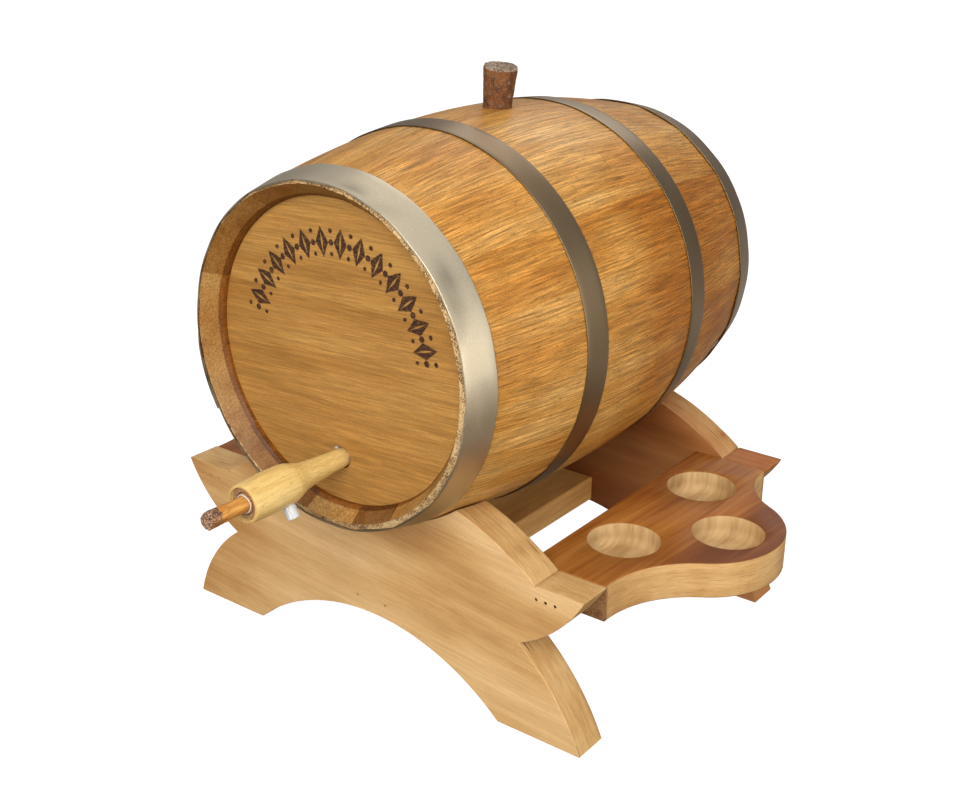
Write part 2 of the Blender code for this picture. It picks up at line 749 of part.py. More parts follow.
def make_shelf(name, side, reach):
    middle = LEDGE_LEVEL - SHELF_THICKNESS / 2
    shelf = outlined(name, shelf_outline(side, reach), SHELF_THICKNESS, SHELF_PINE, BARREL, (0, 0, middle))
    for number, (x, y) in enumerate(POCKETS, 1):
        place = (side * (x + reach), y, LEDGE_LEVEL)
        pocket = cylinder_cutter(
            f"{name}_pocket_{number}", POCKET_RADIUS, -POCKET_DEPTH, CUT_REACH, BARREL, place, steps=32
        )
        combine(shelf, pocket)
    return shelf


def make_rail():
    half_span = BOARD_FACE - BOARD_THICKNESS - GAP
    low = (-RAIL_WIDTH / 2, -half_span, RAIL_TOP - RAIL_THICKNESS)
    high = (RAIL_WIDTH / 2, half_span, RAIL_TOP)
    return add_object("centre_rail", box_mesh("centre_rail", low, high), CRADLE_PINE, BARREL)


def make_nail(name, place, facing, board, held):
    """A nail sunk in the board's face, with the hole that it makes through the board into a piece."""
    profile = [
        (0, 0),
        (NAIL_HEAD_RADIUS, 0),
        (NAIL_RADIUS, -NAIL_HEAD_LENGTH),
        (NAIL_RADIUS, NAIL_POINT - NAIL_LENGTH),
        (0, -NAIL_LENGTH),
    ]
    turned(name, profile, False, 8, NAIL_STEEL, BARREL, place, facing)
    hole_profile = [
        (0, CUT_REACH),
        (NAIL_HEAD_RADIUS + GAP, CUT_REACH),
        (NAIL_HEAD_RADIUS + GAP, -GAP),
        (NAIL_RADIUS + GAP, -NAIL_HEAD_LENGTH - GAP),
        (NAIL_RADIUS + GAP, -NAIL_LENGTH - GAP),
        (0, -NAIL_LENGTH - GAP),
    ]
    hole = turned(name + "_hole", hole_profile, False, 8, None, BARREL, place, facing)
    combine(board, hole)
    combine(held, hole)


def make_nails(boards, right_shelf, left_shelf, rail):
    shelf_level = LEDGE_LEVEL - NAIL_DROP
    rail_level = RAIL_TOP - RAIL_THICKNESS / 2
    groups = [
        ("right_shelf", RIGHT_NAILS, shelf_level, right_shelf),
        ("left_shelf", LEFT_NAILS, shelf_level, left_shelf),
        ("rail", RAIL_NAILS, rail_level, rail),
    ]
    ends = [("front", -1, FACING_FRONT), ("rear", 1, FACING_REAR)]
    for (end, side, facing), board in zip(ends, boards):
        for group, places, level, held in groups:
            for number, x in enumerate(places, 1):
                place = (x, side * (BOARD_FACE - NAIL_SINK), level)
                make_nail(f"{end}_{group}_nail_{number}", place, facing, board, held)


def main():
    bung_stave = make_staves()
    front_board = make_heads()
    make_hoops()
    make_bung(bung_stave)
    make_tap(front_board)
    boards = make_boards()
    right_shelf = make_shelf("right_cup_shelf", 1, 0)
    left_shelf = make_shelf("left_cup_shelf", -1, LEFT_REACH)
    make_nails(boards, right_shelf, left_shelf, make_rail())


main()
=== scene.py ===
"""Looks for the oak wine barrel on its cradle: fine meshes and procedural materials round the frame."""

import math
from functools import partial

import bmesh
import bpy
import numpy as np
from mathutils import Matrix, Vector, noise
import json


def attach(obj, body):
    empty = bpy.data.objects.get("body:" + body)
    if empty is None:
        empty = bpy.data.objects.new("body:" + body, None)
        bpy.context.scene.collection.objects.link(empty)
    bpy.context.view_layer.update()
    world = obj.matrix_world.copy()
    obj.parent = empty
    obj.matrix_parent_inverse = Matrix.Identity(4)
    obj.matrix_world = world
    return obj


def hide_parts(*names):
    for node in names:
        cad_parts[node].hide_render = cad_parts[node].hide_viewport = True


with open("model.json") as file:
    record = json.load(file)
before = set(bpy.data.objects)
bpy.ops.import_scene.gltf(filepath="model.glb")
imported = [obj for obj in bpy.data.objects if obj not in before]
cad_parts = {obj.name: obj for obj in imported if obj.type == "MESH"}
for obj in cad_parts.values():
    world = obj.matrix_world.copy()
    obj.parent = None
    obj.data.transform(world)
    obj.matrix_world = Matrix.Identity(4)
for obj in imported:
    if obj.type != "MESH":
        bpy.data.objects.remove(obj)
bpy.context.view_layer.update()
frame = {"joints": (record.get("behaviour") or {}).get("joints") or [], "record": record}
RECORD = frame["record"]
BODY_OF = {node: body for body, nodes in RECORD["behaviour"]["bodies"].items() for node in nodes}
JOINTS = {joint["name"]: joint for joint in frame["joints"]}

# Meshes are made in metres round the barrel's middle. Y runs along the barrel, and the tap is at -Y.
CENTRE = np.array(JOINTS["barrel_lift"]["pos_m"])
TAP_LEVEL = JOINTS["tap_turn"]["pos_m"][2] - CENTRE[2]
FLOOR = -CENTRE[2]
GAP = 0.0003

# The barrel: half its length, its radius at the middle and at the ends, and its staves.
HALF = 0.140
BELLY = 0.1056
END = 0.0893
WALL = 0.0116
STAVES = 18
STAVE_STEPS = 26

# Each stave's end: the bevel inside the rim, the darker red-brown strip on it next to the head, and the
# groove for the head.
BEVEL = 0.0102
SEAM = 0.77
SET_BACK = 0.0011
GROOVE = 0.0136
GROOVE_WIDTH = 0.0054

HEAD_INSET = 0.0122
HEAD_FACE = HALF - HEAD_INSET
HEAD_THICK = 0.010
HEAD_JOINT = 0.027

# The hoops: the solid's thickness and the visible strip's, and where the ends lap.
HOOP = 0.0009
STRIP = 0.0005
LAP = math.radians(201)

# The cradle: the boards' outer face, the tops of the shelves, and the nails by group.
BOARD_FACE = 0.1081
BOARD = 0.0208
INNER = BOARD_FACE - BOARD - GAP
SHELF = 0.0203
LEDGE = -0.1023
LEFT_REACH = 0.0040
NAILS = {
    "right_shelf": (LEDGE - 0.0075, (0.1092, 0.1149, 0.1205)),
    "left_shelf": (LEDGE - 0.0075, (-0.1175, -0.1240, -0.1305)),
    "rail": (-0.1490, (-0.0100, 0.0100)),
}


# ---------------------------------------------------------------- meshes


def steps_between(low, high, count):
    return [low + (high - low) * i / count for i in range(count + 1)]


def loft(rings, caps=True):
    """Points and faces of a body through closed rings of equally many points."""
    rings = np.asarray(rings, float)
    rows, count = rings.shape[:2]
    faces = []
    for near in range(0, (rows - 1) * count, count):
        for j in range(count):
            k = (j + 1) % count
            faces.append((near + j, near + k, near + count + k, near + count + j))
    if caps:
        faces.append(tuple(range(count))[::-1])
        faces.append(tuple(range((rows - 1) * count, rows * count)))
    return rings.reshape(-1, 3), faces


def to_mesh(points, faces):
    mesh = bpy.data.meshes.new("piece")
    mesh.from_pydata([tuple(map(float, p)) for p in points], [], faces)
    shape = bmesh.new()
    shape.from_mesh(mesh)
    bmesh.ops.remove_doubles(shape, verts=shape.verts, dist=1e-6)
    bmesh.ops.recalc_face_normals(shape, faces=shape.faces)
    shape.to_mesh(mesh)
    shape.free()
    return mesh


def turned(profile, steps, matrix, move=None):
    """(radius, height) points turned about local Z, then placed. One that starts off the axis is closed."""
    if profile[0][0] > 0:
        profile = [*profile, profile[0]]
    angles = steps_between(0, 2 * math.pi, steps)[:-1]
    rings = [[(r * math.cos(a), r * math.sin(a), height) for a in angles] for r, height in profile]
    points, faces = loft(rings, caps=False)
    mesh = to_mesh(points if move is None else move(points), faces)
    mesh.transform(matrix)
    return mesh


def rod(radius, low, high):
    return [(0, high), (radius, high), (radius, low), (0, low)]


def box(low, high):
    points = [(x, y, z) for x in (low[0], high[0]) for y in (low[1], high[1]) for z in (low[2], high[2])]
    faces = [(0, 1, 3, 2), (4, 6, 7, 5), (0, 4, 5, 1), (2, 3, 7, 6), (0, 2, 6, 4), (1, 5, 7, 3)]
    return to_mesh(points, faces)


def cut(mesh, *cutters):
    """The mesh after an exact Boolean with each cutter, one after the other."""
    for cutter in cutters:
        base, tool = (bpy.data.objects.new("cut", data) for data in (mesh, cutter))
        for item in (base, tool):
            bpy.context.scene.collection.objects.link(item)
        boolean = base.modifiers.new("Cut", "BOOLEAN")
        boolean.operation = "DIFFERENCE"
        boolean.solver = "EXACT"
        boolean.object = tool
        bpy.context.view_layer.update()
        graph = bpy.context.evaluated_depsgraph_get()
        result = bpy.data.meshes.new_from_object(base.evaluated_get(graph))
        for item in (base, tool):
            bpy.data.objects.remove(item)
        for used in (mesh, cutter):
            bpy.data.meshes.remove(used)
        mesh = result
    return mesh


def add_piece(name, mesh, material, values, angle):
    """Shades and links a finished mesh, and moves it out from round the origin to the barrel's middle."""
    co = np.empty(len(mesh.vertices) * 3, np.float32)
    mesh.vertices.foreach_get("co", co)
    co = co.reshape(-1, 3).astype(float)
    for key, value in values(co).items():
        kind, field = ("FLOAT_VECTOR", "vector") if np.ndim(value) == 2 else ("FLOAT", "value")
        value = np.full(len(co), value) if np.ndim(value) == 0 else value
        attribute = mesh.attributes.new(key, kind, "POINT")
        attribute.data.foreach_set(field, np.asarray(value, np.float32).ravel())
    mesh.transform(Matrix.Translation(CENTRE))
    mesh.shade_smooth()
    for face in mesh.polygons:
        if len(face.vertices) > 8:
            face.use_smooth = False
    mesh.set_sharp_from_angle(angle=math.radians(angle))
    mesh.materials.clear()
    mesh.materials.append(material)
    item = bpy.data.objects.new(name, mesh)
    bpy.context.scene.collection.objects.link(item)
    return item


def plain_grain(co):
    return {"grain": co}


def dress(node, kind, mesh, material, values=plain_grain, angle=30):
    """The visible piece that stands for one CAD node, and rides with it."""
    item = add_piece(f"{node}_{kind}", mesh, material, values, angle)
    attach(item, BODY_OF[node])
    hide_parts(node)


def arc(start, end, bulge, steps):
    """Points after start, up to end, on the arc that stands out by bulge to the left of the way there."""
    start = Vector(start)
    way = Vector(end) - start
    half_angle = 2 * math.atan(2 * bulge / way.length)
    radius = way.length / 2 / math.sin(half_angle)
    along = way.normalized()
    left = Vector((-along.y, along.x))
    points = []
    for angle in steps_between(-half_angle, half_angle, steps)[1:]:
        forward = way.length / 2 + radius * math.sin(angle)
        aside = radius * (math.cos(angle) - math.cos(half_angle))
        points.append(tuple(start + along * forward + left * aside))
    return points


def around(centre, radius, first, last, steps):
    angles = [math.radians(a) for a in steps_between(first, last, steps)]
    return [(centre[0] + radius * math.cos(a), centre[1] + radius * math.sin(a)) for a in angles]


def shrunk(outline, amount):
    """A closed outline moved in by amount, along the mean of its two sides' normals at each point."""
    points = np.asarray(outline, float)
    after = np.roll(points, -1, axis=0)
    side = after - points
    side /= np.maximum(np.linalg.norm(side, axis=1, keepdims=True), 1e-12)
    area = np.sum(points[:, 0] * after[:, 1] - after[:, 0] * points[:, 1])
    normal = np.stack([-side[:, 1], side[:, 0]], 1) * np.sign(area)
    mean = normal + np.roll(normal, 1, axis=0)
    return points + mean * amount / np.maximum((mean * mean).sum(1, keepdims=True) / 2, 0.5)


def rough(co, scale, amount, seed=0.0):
    """One noise value for each point, within plus and minus amount."""
    shift = Vector((seed, seed * 1.7, -seed))
    return np.array([noise.noise(Vector(p) * scale + shift) for p in co]) * amount


def ramped(value, start, width):
    """0 before start, then up to 1 over width. A negative width counts down."""
    return np.clip((value - start) / width, 0, 1)


def scaled_radius(points, change):
    """Points moved out from local Z by change, given for each of them."""
    radius = np.hypot(points[:, 0], points[:, 1])
    factor = 1 + change / np.maximum(radius, 1e-6)
    return points * np.stack([factor, factor, np.ones(len(points))], 1)


# ---------------------------------------------------------------- node trees


class Signal:
    """A node's output. Arithmetic on it adds Math nodes."""

    def __init__(self, nodes, socket):
        self.nodes = nodes
        self.socket = socket

    def __add__(self, other):
        return self.nodes.math("ADD", self, other)

    def __sub__(self, other):
        return self.nodes.math("SUBTRACT", self, other)

    def __rsub__(self, other):
        return self.nodes.math("SUBTRACT", other, self)

    def __mul__(self, other):
        return self.nodes.math("MULTIPLY", self, other)

    def __truediv__(self, other):
        return self.nodes.math("DIVIDE", self, other)


class Nodes:
    """A short way to write the node tree of a material or a world.

    colour, height and dull gather a surface's base colour, bump and roughness while it is built up.
    """

    def __init__(self, owner):
        owner.use_nodes = True
        self.owner = owner
        self.tree = owner.node_tree
        self.colour = self.height = self.dull = None

    def link(self, value, socket):
        if isinstance(value, Signal):
            self.tree.links.new(value.socket, socket)
        elif socket.type == "RGBA":
            socket.default_value = (*value, 1)
        else:
            socket.default_value = value

    def add(self, kind, inputs, output=0, **settings):
        node = self.tree.nodes.new(kind)
        for key, value in settings.items():
            setattr(node, key, value)
        for key, value in inputs.items():
            self.link(value, node.inputs[key])
        return Signal(self, node.outputs[output])

    def value(self, name):
        return self.add("ShaderNodeAttribute", {}, "Fac", attribute_name=name)

    def vector(self, name):
        return self.add("ShaderNodeAttribute", {}, "Vector", attribute_name=name)

    def math(self, operation, *values):
        return self.add("ShaderNodeMath", dict(enumerate(values)), operation=operation)

    def stretch(self, vector, scale):
        return self.add("ShaderNodeVectorMath", {0: vector, 1: scale}, operation="MULTIPLY")

    def shift(self, vector, other):
        return self.add("ShaderNodeVectorMath", {0: vector, 1: other}, operation="ADD")

    def noise(self, vector, scale, detail, roughness=0.5, output="Fac", distortion=0.0):
        """Noise at one scale, or at three of them, one for each axis."""
        if isinstance(scale, tuple):
            vector, scale = self.stretch(vector, scale), 1.0
        inputs = {"Vector": vector, "Scale": scale, "Detail": detail, "Roughness": roughness}
        return self.add("ShaderNodeTexNoise", inputs | {"Distortion": distortion}, output)

    def ramp(self, value, *stops):
        node = self.tree.nodes.new("ShaderNodeValToRGB")
        self.link(value, node.inputs["Fac"])
        elements = node.color_ramp.elements
        while len(elements) < len(stops):
            elements.new(0.5)
        for element, (place, colour) in zip(elements, stops):
            element.position = place
            element.color = (*colour, 1)
        return Signal(self, node.outputs["Color"])

    def level(self, value, low, high, to_low=0.0, to_high=1.0, kind="LINEAR"):
        inputs = {"Value": value, "From Min": low, "From Max": high, "To Min": to_low, "To Max": to_high}
        return self.add("ShaderNodeMapRange", inputs, "Result", interpolation_type=kind)

    def soft(self, value, low, high, to_high=1.0):
        return self.level(value, low, high, 0.0, to_high, "SMOOTHSTEP")

    def mix(self, factor, a, b, blend="MIX"):
        """Colours mixed. A Mix node takes them by its inputs 6 and 7, and gives one by its output 2."""
        return self.add("ShaderNodeMix", {0: factor, 6: a, 7: b}, 2, data_type="RGBA", blend_type=blend)

    def dimmed(self, colour, amount):
        grey = self.add("ShaderNodeCombineXYZ", {0: amount, 1: amount, 2: amount})
        return self.mix(1.0, colour, grey, "MULTIPLY")

    def cover(self, mark, colour, rise, dull):
        """Lays another surface over the marked places."""
        self.colour = self.mix(mark, self.colour, colour)
        self.height += rise
        self.dull += mark * dull

    def finish(self, depth=0.0, strength=0.0, **constants):
        """Wires up the gathered surface, with its bump's depth and strength."""
        constants.update({"Base Color": self.colour, "Roughness": self.dull})
        if depth:
            bump = {"Height": self.height, "Distance": depth, "Strength": strength}
            constants["Normal"] = self.add("ShaderNodeBump", bump)
        shader = self.tree.nodes["Principled BSDF"]
        for key, value in constants.items():
            self.link(value, shader.inputs[key.replace("_", " ")])
        return self.owner


def new_material(name):
    return Nodes(bpy.data.materials.new(name))


def times(colour, factor):
    return tuple(c * factor for c in colour)


# ---------------------------------------------------------------- materials


def wood(name, light, middle, dark, roughness=0.5, coat=None, specular=0.45, spread=0.14, cloudy=0.35,
         tones=0.35, streaks=0.42, wide=60, long=3.0, deep=None, fibre=1.0, pore=0.5, pit_size=1900,
         seed=0.0, knots=0.0, edges=None, seam=None, ends=None, burnt=False, bare=None):
    """Wood by its grain attribute (across, along, deep). Other attributes mark other cuts, darker places and
    painted shadow.
    """
    n = new_material(name)
    own = n.vector("grain")
    grain = n.shift(own, (seed, seed * 0.37, seed * 0.11))
    warp = n.noise(grain, (24, 6, 24), 2, output="Color")
    warped = n.shift(grain, n.stretch(warp, (0.009, 0.0, 0.004)))
    deep = deep or wide
    bands = n.noise(warped, (wide, long, deep), 3, 0.55)
    lines = n.noise(warped, (wide * 8, long * 5, deep * 8), 4, 0.70)
    cloud = n.noise(grain, (15, 8, 15), 3, 0.55)
    mixed = bands * (1 - streaks) + lines * streaks
    mixed += (n.value("tone") - 0.5) * tones
    mixed += (cloud - 0.5) * cloudy
    share = n.level(mixed, 0.5 - spread, 0.5 + spread)

    fibres = n.noise(grain, (2600, 60, 2600), 3, 0.7)
    fine = n.noise(grain, (950, 30, 950), 3, 0.65)
    grit = n.noise(grain, (2800, 900, 2800), 2, 0.6)
    pores = n.noise(grain, (pit_size, pit_size / 9, pit_size), 2, 0.55)
    pit = n.soft(pores, 0.62, 0.72, pore)
    dim = n.level(fibres, 0.28, 0.72, 1 - 0.22 * fibre, 1 + 0.17 * fibre)
    dim *= n.level(fine, 0.30, 0.70, 1 - 0.17 * fibre, 1 + 0.13 * fibre)
    dim *= n.level(grit, 0.25, 0.75, 1 - 0.10 * fibre, 1 + 0.08 * fibre)
    # The shade attribute darkens the wood: the staves' bevels, and painted shadow of the barrel on the rear
    # board.
    dim *= 1.0 - n.value("shade")
    n.colour = n.dimmed(n.ramp(share, (0.0, dark), (0.5, middle), (1.0, light)), dim)
    n.colour = n.mix(pit, n.colour, times(dark, 0.35))
    n.height = fibres * 0.5 - pit * 0.9 + (fine + grit) * 0.35
    sheen = n.noise(grain, (45, 20, 45), 3, 0.6)
    n.dull = n.level(sheen, 0.3, 0.7, roughness - 0.06, roughness + 0.08) + pit * 0.25

    if knots:
        add_knots(n, warped, dark, knots)
    if edges:
        add_sawn_edges(n, grit, *edges)
    if seam:
        # The seam attribute paints a darker red-brown: a strip on each stave's bevel next to the head, and
        # places on the rear board. On the board's inner face this is painted shadow of the barrel.
        stained = n.dimmed(n.ramp(share, (0.0, times(seam, 0.70)), (1.0, times(seam, 1.30))), dim)
        n.colour = n.mix(n.value("seam"), n.colour, stained)
    if ends:
        add_end_grain(n, own, *ends)
    if burnt:
        add_burnt_border(n, own)
    if bare:
        add_bare_wood(n, own, *bare)
    varnish = {"Coat_Weight": coat[0], "Coat_Roughness": coat[1]} if coat else {}
    return n.finish(0.00013, 0.6, Specular_IOR_Level=specular, **varnish)


def add_knots(n, warped, dark, strength):
    inputs = {"Vector": n.stretch(warped, (15, 6.5, 15)), "Scale": 1.0}
    cells = n.add("ShaderNodeTexVoronoi", inputs, "Distance", feature="F1")
    n.colour = n.mix(n.soft(cells, 0.22, 0.05, strength * 0.45), n.colour, times(dark, 0.80))
    n.colour = n.mix(n.soft(cells, 0.085, 0.03, strength), n.colour, times(dark, 0.30))


def add_sawn_edges(n, grit, light, middle, dark):
    """The edge attribute marks edges sawn along the growth layers, whose lines follow the run attribute."""
    edge = n.value("edge")
    run = n.vector("run")
    layers = n.noise(run, (420, 26, 26), 3, 0.6)
    hair = n.noise(run, (2300, 120, 120), 3, 0.65)
    patches = n.noise(run, (30, 45, 45), 2)
    both = layers * 0.25 + hair * 0.40 + patches * 0.35
    crack = n.soft(n.noise(run, (1100, 42, 42), 1, 0.4), 0.70, 0.76, 0.75)
    sawn = n.mix(crack, n.ramp(both, (0.34, dark), (0.5, middle), (0.62, light)), times(dark, 0.22))
    sawn = n.dimmed(sawn, n.level(grit, 0.25, 0.75, 0.90, 1.10))
    n.cover(edge, sawn, (hair * 1.4 - crack * 2.0) * edge, 0.14)


def add_end_grain(n, own, pale, brown, black):
    rim = n.value("rim")
    speck = n.noise(own, 1300, 3, 0.75)
    tint = n.noise(own, 110, 2)
    ends = n.ramp(speck + (tint - 0.5) * 0.45, (0.34, black), (0.46, brown), (0.58, pale))
    n.cover(rim, ends, speck * rim * 3.0, 0.3)


def add_bare_wood(n, own, light, middle, dark):
    """The bare attribute marks pockets that were cut after the wood was stained."""
    bands = n.noise(own, (130, 12, 12), 3, 0.6)
    lines = n.noise(own, (600, 90, 60), 3, 0.65)
    raw = n.ramp(bands * 0.6 + lines * 0.4, (0.30, dark), (0.44, middle), (0.60, light))
    n.cover(n.value("bare"), raw, 0.0, 0.18)


def add_burnt_border(n, own):
    """A burnt row of leaves and beads on an arc round the head. The disc attribute is the place on it."""
    first, last, count, ring = math.radians(8), math.radians(166), 13, 0.0570
    step = (last - first) / count
    disc = n.vector("disc")
    x, z = (n.add("ShaderNodeSeparateXYZ", {0: disc}, output) for output in (0, 1))
    blur = (n.noise(disc, (650, 650, 1), 3, 0.65) - 0.5) * 0.5
    place = (n.math("ARCTAN2", z, x) - first) / step
    inside = n.math("GREATER_THAN", place, -0.16) * n.math("LESS_THAN", place, count + 0.16)
    aside = n.math("ABSOLUTE", (n.math("FRACT", place) - 0.5) * (step * ring))
    up = n.math("ABSOLUTE", n.math("SQRT", x * x + z * z) - ring)

    leaf = n.soft(aside / 0.0044 + up / 0.0080 + blur * 0.5, 1.02, 0.92)
    mark = leaf * n.soft(aside / 0.0006 + up / 0.0050, 0.8, 1.2)
    gap = step * ring / 2 - aside
    for height, size in ((0.0, 0.0017), (0.0058, 0.0012)):
        rise = up - height
        bead = n.math("SQRT", gap * gap + rise * rise) / size + blur
        mark = n.math("MAXIMUM", mark, n.soft(bead, 1.08, 0.88))
    mark = mark * inside * n.level(n.noise(disc, (420, 700, 1), 4, 0.7), 0.34, 0.50, 0.66, 1.0)

    char = n.noise(own, (900, 300, 900), 3, 0.7)
    charred = n.ramp(char, (0.3, (0.018, 0.006, 0.003)), (0.75, (0.085, 0.030, 0.012)))
    n.cover(mark, charred, mark * -2.5, 0.3)


def steel(name, colour, warm, roughness, blotch, low):
    """Galvanised strip: satin, with soft cloudy blotches, fine specks and dark edges."""
    n = new_material(name)
    run = n.vector("run")
    clouds = n.noise(run, (20, 34, 20), 1, 0.4, distortion=0.2)
    cloud = n.soft(clouds, 0.52, 0.72)
    tint = n.noise(run, (9, 20, 9), 2)
    fine = n.noise(run, (300, 1800, 300), 3, 0.6)
    grit = n.noise(run, 1700, 3, 0.7)
    base = n.mix(n.level(tint, 0.35, 0.65), colour, warm)
    base = n.mix(cloud * blotch, base, times(colour, low))
    base = n.dimmed(base, n.level(grit, 0.3, 0.7, 0.86, 1.10))
    # The shade attribute paints darker patches: blotches on the steel, and painted shade on the front head
    # hoop.
    base = n.mix(n.value("shade"), base, times(colour, 0.30))
    edge = n.value("edge") * n.level(grit, 0.25, 0.6, 0.7, 0.3)
    n.colour = n.mix(edge, base, times(warm, 0.30))
    n.dull = n.level(grit, 0.3, 0.7, roughness - 0.05, roughness + 0.07) + cloud * 0.05
    n.height = fine * 0.3 + grit * 0.5
    return n.finish(0.00005, 0.5, Metallic=1.0)


def speckled(name, light, dark, scale, roughness, depth, metallic=0.0):
    """Cork, or an iron nail's head: specks of two colours, with a rough surface."""
    n = new_material(name)
    grain = n.vector("grain")
    fine = n.noise(grain, scale * 3.1, 3, 0.6)
    n.height = n.noise(grain, scale, 4, 0.7) * 0.65 + fine * 0.35
    n.colour = n.ramp(n.height, (0.35, dark), (0.65, light))
    n.dull = n.level(fine, 0.3, 0.7, roughness - 0.08, roughness + 0.08)
    return n.finish(depth, 0.7, Metallic=metallic)


def milky_plastic():
    n = new_material("tap_plastic")
    n.height = n.noise(n.vector("grain"), (900, 60, 900), 2)
    n.colour = n.ramp(n.height, (0.35, (0.62, 0.64, 0.66)), (0.6, (0.86, 0.87, 0.87)))
    n.dull = n.level(n.height, 0.3, 0.7, 0.16, 0.30)
    return n.finish(0.00008, 0.5, Transmission_Weight=0.35, IOR=1.46, Coat_Weight=0.4, Coat_Roughness=0.1)


def stained_sleeve():
    """White plastic that the cork has stained brown all over, except on its front lip."""
    n = new_material("tap_plastic_stained")
    n.height = n.noise(n.vector("grain"), 1500, 3, 0.7)
    stain = n.ramp(n.height, (0.38, (0.10, 0.035, 0.010)), (0.62, (0.52, 0.24, 0.06)))
    clean = n.ramp(n.height, (0.3, (0.60, 0.57, 0.52)), (0.55, (0.90, 0.89, 0.87)))
    n.colour = n.mix(n.value("rim"), clean, stain)
    n.dull = n.level(n.height, 0.3, 0.7, 0.28, 0.5)
    return n.finish(0.00015, 0.6)


STAVE_WOOD = wood(
    "stave_oak", (0.71, 0.410, 0.128), (0.575, 0.268, 0.052), (0.405, 0.134, 0.008),
    roughness=0.46, coat=(0.10, 0.34), specular=0.22, spread=0.31, cloudy=1.1, tones=0.24,
    streaks=0.36, wide=110, long=5.0, fibre=2.60, pore=0.70, seam=(0.30, 0.092, 0.010),
    ends=((0.62, 0.44, 0.22), (0.32, 0.18, 0.070), (0.040, 0.020, 0.012)),
)
HEAD_LOOK = dict(
    light=(0.520, 0.285, 0.074), middle=(0.420, 0.203, 0.044), dark=(0.300, 0.128, 0.020),
    roughness=0.55, coat=(0.08, 0.45), specular=0.28, spread=0.30, cloudy=0.60, tones=0.20,
    streaks=0.22, wide=60, long=4.5, fibre=1.50, pore=0.35, pit_size=2700,
)
FRONT_HEAD_WOOD = wood("head_oak", burnt=True, **HEAD_LOOK)
REAR_HEAD_WOOD = wood("head_oak_plain", seed=3.1, **HEAD_LOOK)
BOARD_WOOD = wood(
    "cradle_pine", (0.74, 0.485, 0.232), (0.610, 0.360, 0.142), (0.430, 0.207, 0.062),
    coat=(0.10, 0.4), specular=0.26, spread=0.15, cloudy=0.55, tones=0.30, streaks=0.16,
    wide=26, long=1.6, deep=300, fibre=0.60, pore=0.12, knots=0.55, seam=(0.32, 0.070, 0.003),
    edges=((0.68, 0.445, 0.205), (0.56, 0.330, 0.124), (0.38, 0.190, 0.058)),
)
SHELF_WOOD = wood(
    "shelf_pine", (0.43, 0.170, 0.030), (0.275, 0.080, 0.008), (0.175, 0.046, 0.005),
    coat=(0.12, 0.42), specular=0.32, spread=0.16, cloudy=0.30, streaks=0.5,
    wide=38, long=1.6, fibre=0.55, pore=0.10, seed=1.7,
    edges=((0.66, 0.43, 0.190), (0.57, 0.330, 0.122), (0.40, 0.195, 0.060)),
    ends=((0.34, 0.19, 0.085), (0.21, 0.105, 0.04), (0.06, 0.028, 0.012)),
    bare=((0.62, 0.42, 0.20), (0.47, 0.29, 0.118), (0.26, 0.14, 0.050)),
)
# Painted light: the rail's pine is far paler than the boards', so that it looks lit where it lies in the
# barrel's shadow.
RAIL_WOOD_PAINTED_PALE = wood(
    "rail_pine", (0.94, 0.66, 0.28), (0.87, 0.52, 0.170), (0.70, 0.34, 0.085),
    spread=0.18, streaks=0.3, wide=40, long=2.0, fibre=0.8, pore=0.2, seed=5.3,
)
TAP_WOOD = wood(
    "tap_wood", (0.86, 0.665, 0.305), (0.81, 0.570, 0.208), (0.67, 0.390, 0.094),
    roughness=0.42, coat=(0.2, 0.3), spread=0.26, cloudy=0.3, streaks=0.5, wide=190, long=18, fibre=0.85,
    pore=0.40, pit_size=1500, seed=2.2,
    ends=((0.62, 0.33, 0.10), (0.42, 0.20, 0.055), (0.18, 0.075, 0.02)),
)
KEY_WOOD = wood(
    "key_wood", (0.71, 0.365, 0.088), (0.59, 0.248, 0.045), (0.37, 0.124, 0.019),
    spread=0.16, wide=260, long=30, fibre=1.3, pore=0.45, seed=4.4,
    ends=((0.46, 0.29, 0.18), (0.13, 0.055, 0.032), (0.030, 0.012, 0.008)),
)
BUNG_WOOD = wood(
    "bung_wood", (0.23, 0.085, 0.022), (0.110, 0.034, 0.008), (0.030, 0.009, 0.003),
    roughness=0.55, spread=0.13, cloudy=0.6, streaks=0.6, wide=220, long=150, fibre=0.7, pore=0.7,
    pit_size=1300, seed=6.1, ends=((0.50, 0.40, 0.30), (0.19, 0.110, 0.065), (0.035, 0.018, 0.010)),
)
# One galvanised steel in two copies: the front head hoop's is painted pale and the other hoops' dark brown,
# painted reflections of what each hoop faces.
FRONT_STEEL_PAINTED_PALE = steel("hoop_steel_front", (0.76, 0.655, 0.48), (0.71, 0.60, 0.43), 0.40, 0.50, 0.50)
HOOP_STEEL_PAINTED_DARK = steel("hoop_steel", (0.32, 0.235, 0.140), (0.25, 0.165, 0.088), 0.36, 0.30, 0.60)
CORK = speckled("tap_cork", (0.52, 0.30, 0.14), (0.10, 0.045, 0.02), 1900, 0.85, 0.0002)
IRON = speckled("nail_steel", (0.085, 0.065, 0.050), (0.020, 0.014, 0.010), 1500, 0.5, 0.00005, 0.85)
FILLED_IRON = speckled("nail_steel_filled", (0.50, 0.29, 0.12), (0.22, 0.115, 0.045), 900, 0.6, 0.00005)
PLASTIC = milky_plastic()
SLEEVE = stained_sleeve()


# ---------------------------------------------------------------- barrel


def barrel_radius(y):
    return BELLY - (BELLY - END) * (y / HALF) ** 2


STAVE_JOINTS = [2 * math.pi * i / STAVES + math.radians(0.9) * math.sin(2.4 * i) for i in range(STAVES)]
LIMITS = list(zip(STAVE_JOINTS, STAVE_JOINTS[1:] + [2 * math.pi]))


def sag(angle, low, high):
    """How far a stave's flat falls short of the circle at this angle, as a share of the radius."""
    return 1 - math.cos((high - low) / 2) / math.cos(angle - (low + high) / 2)


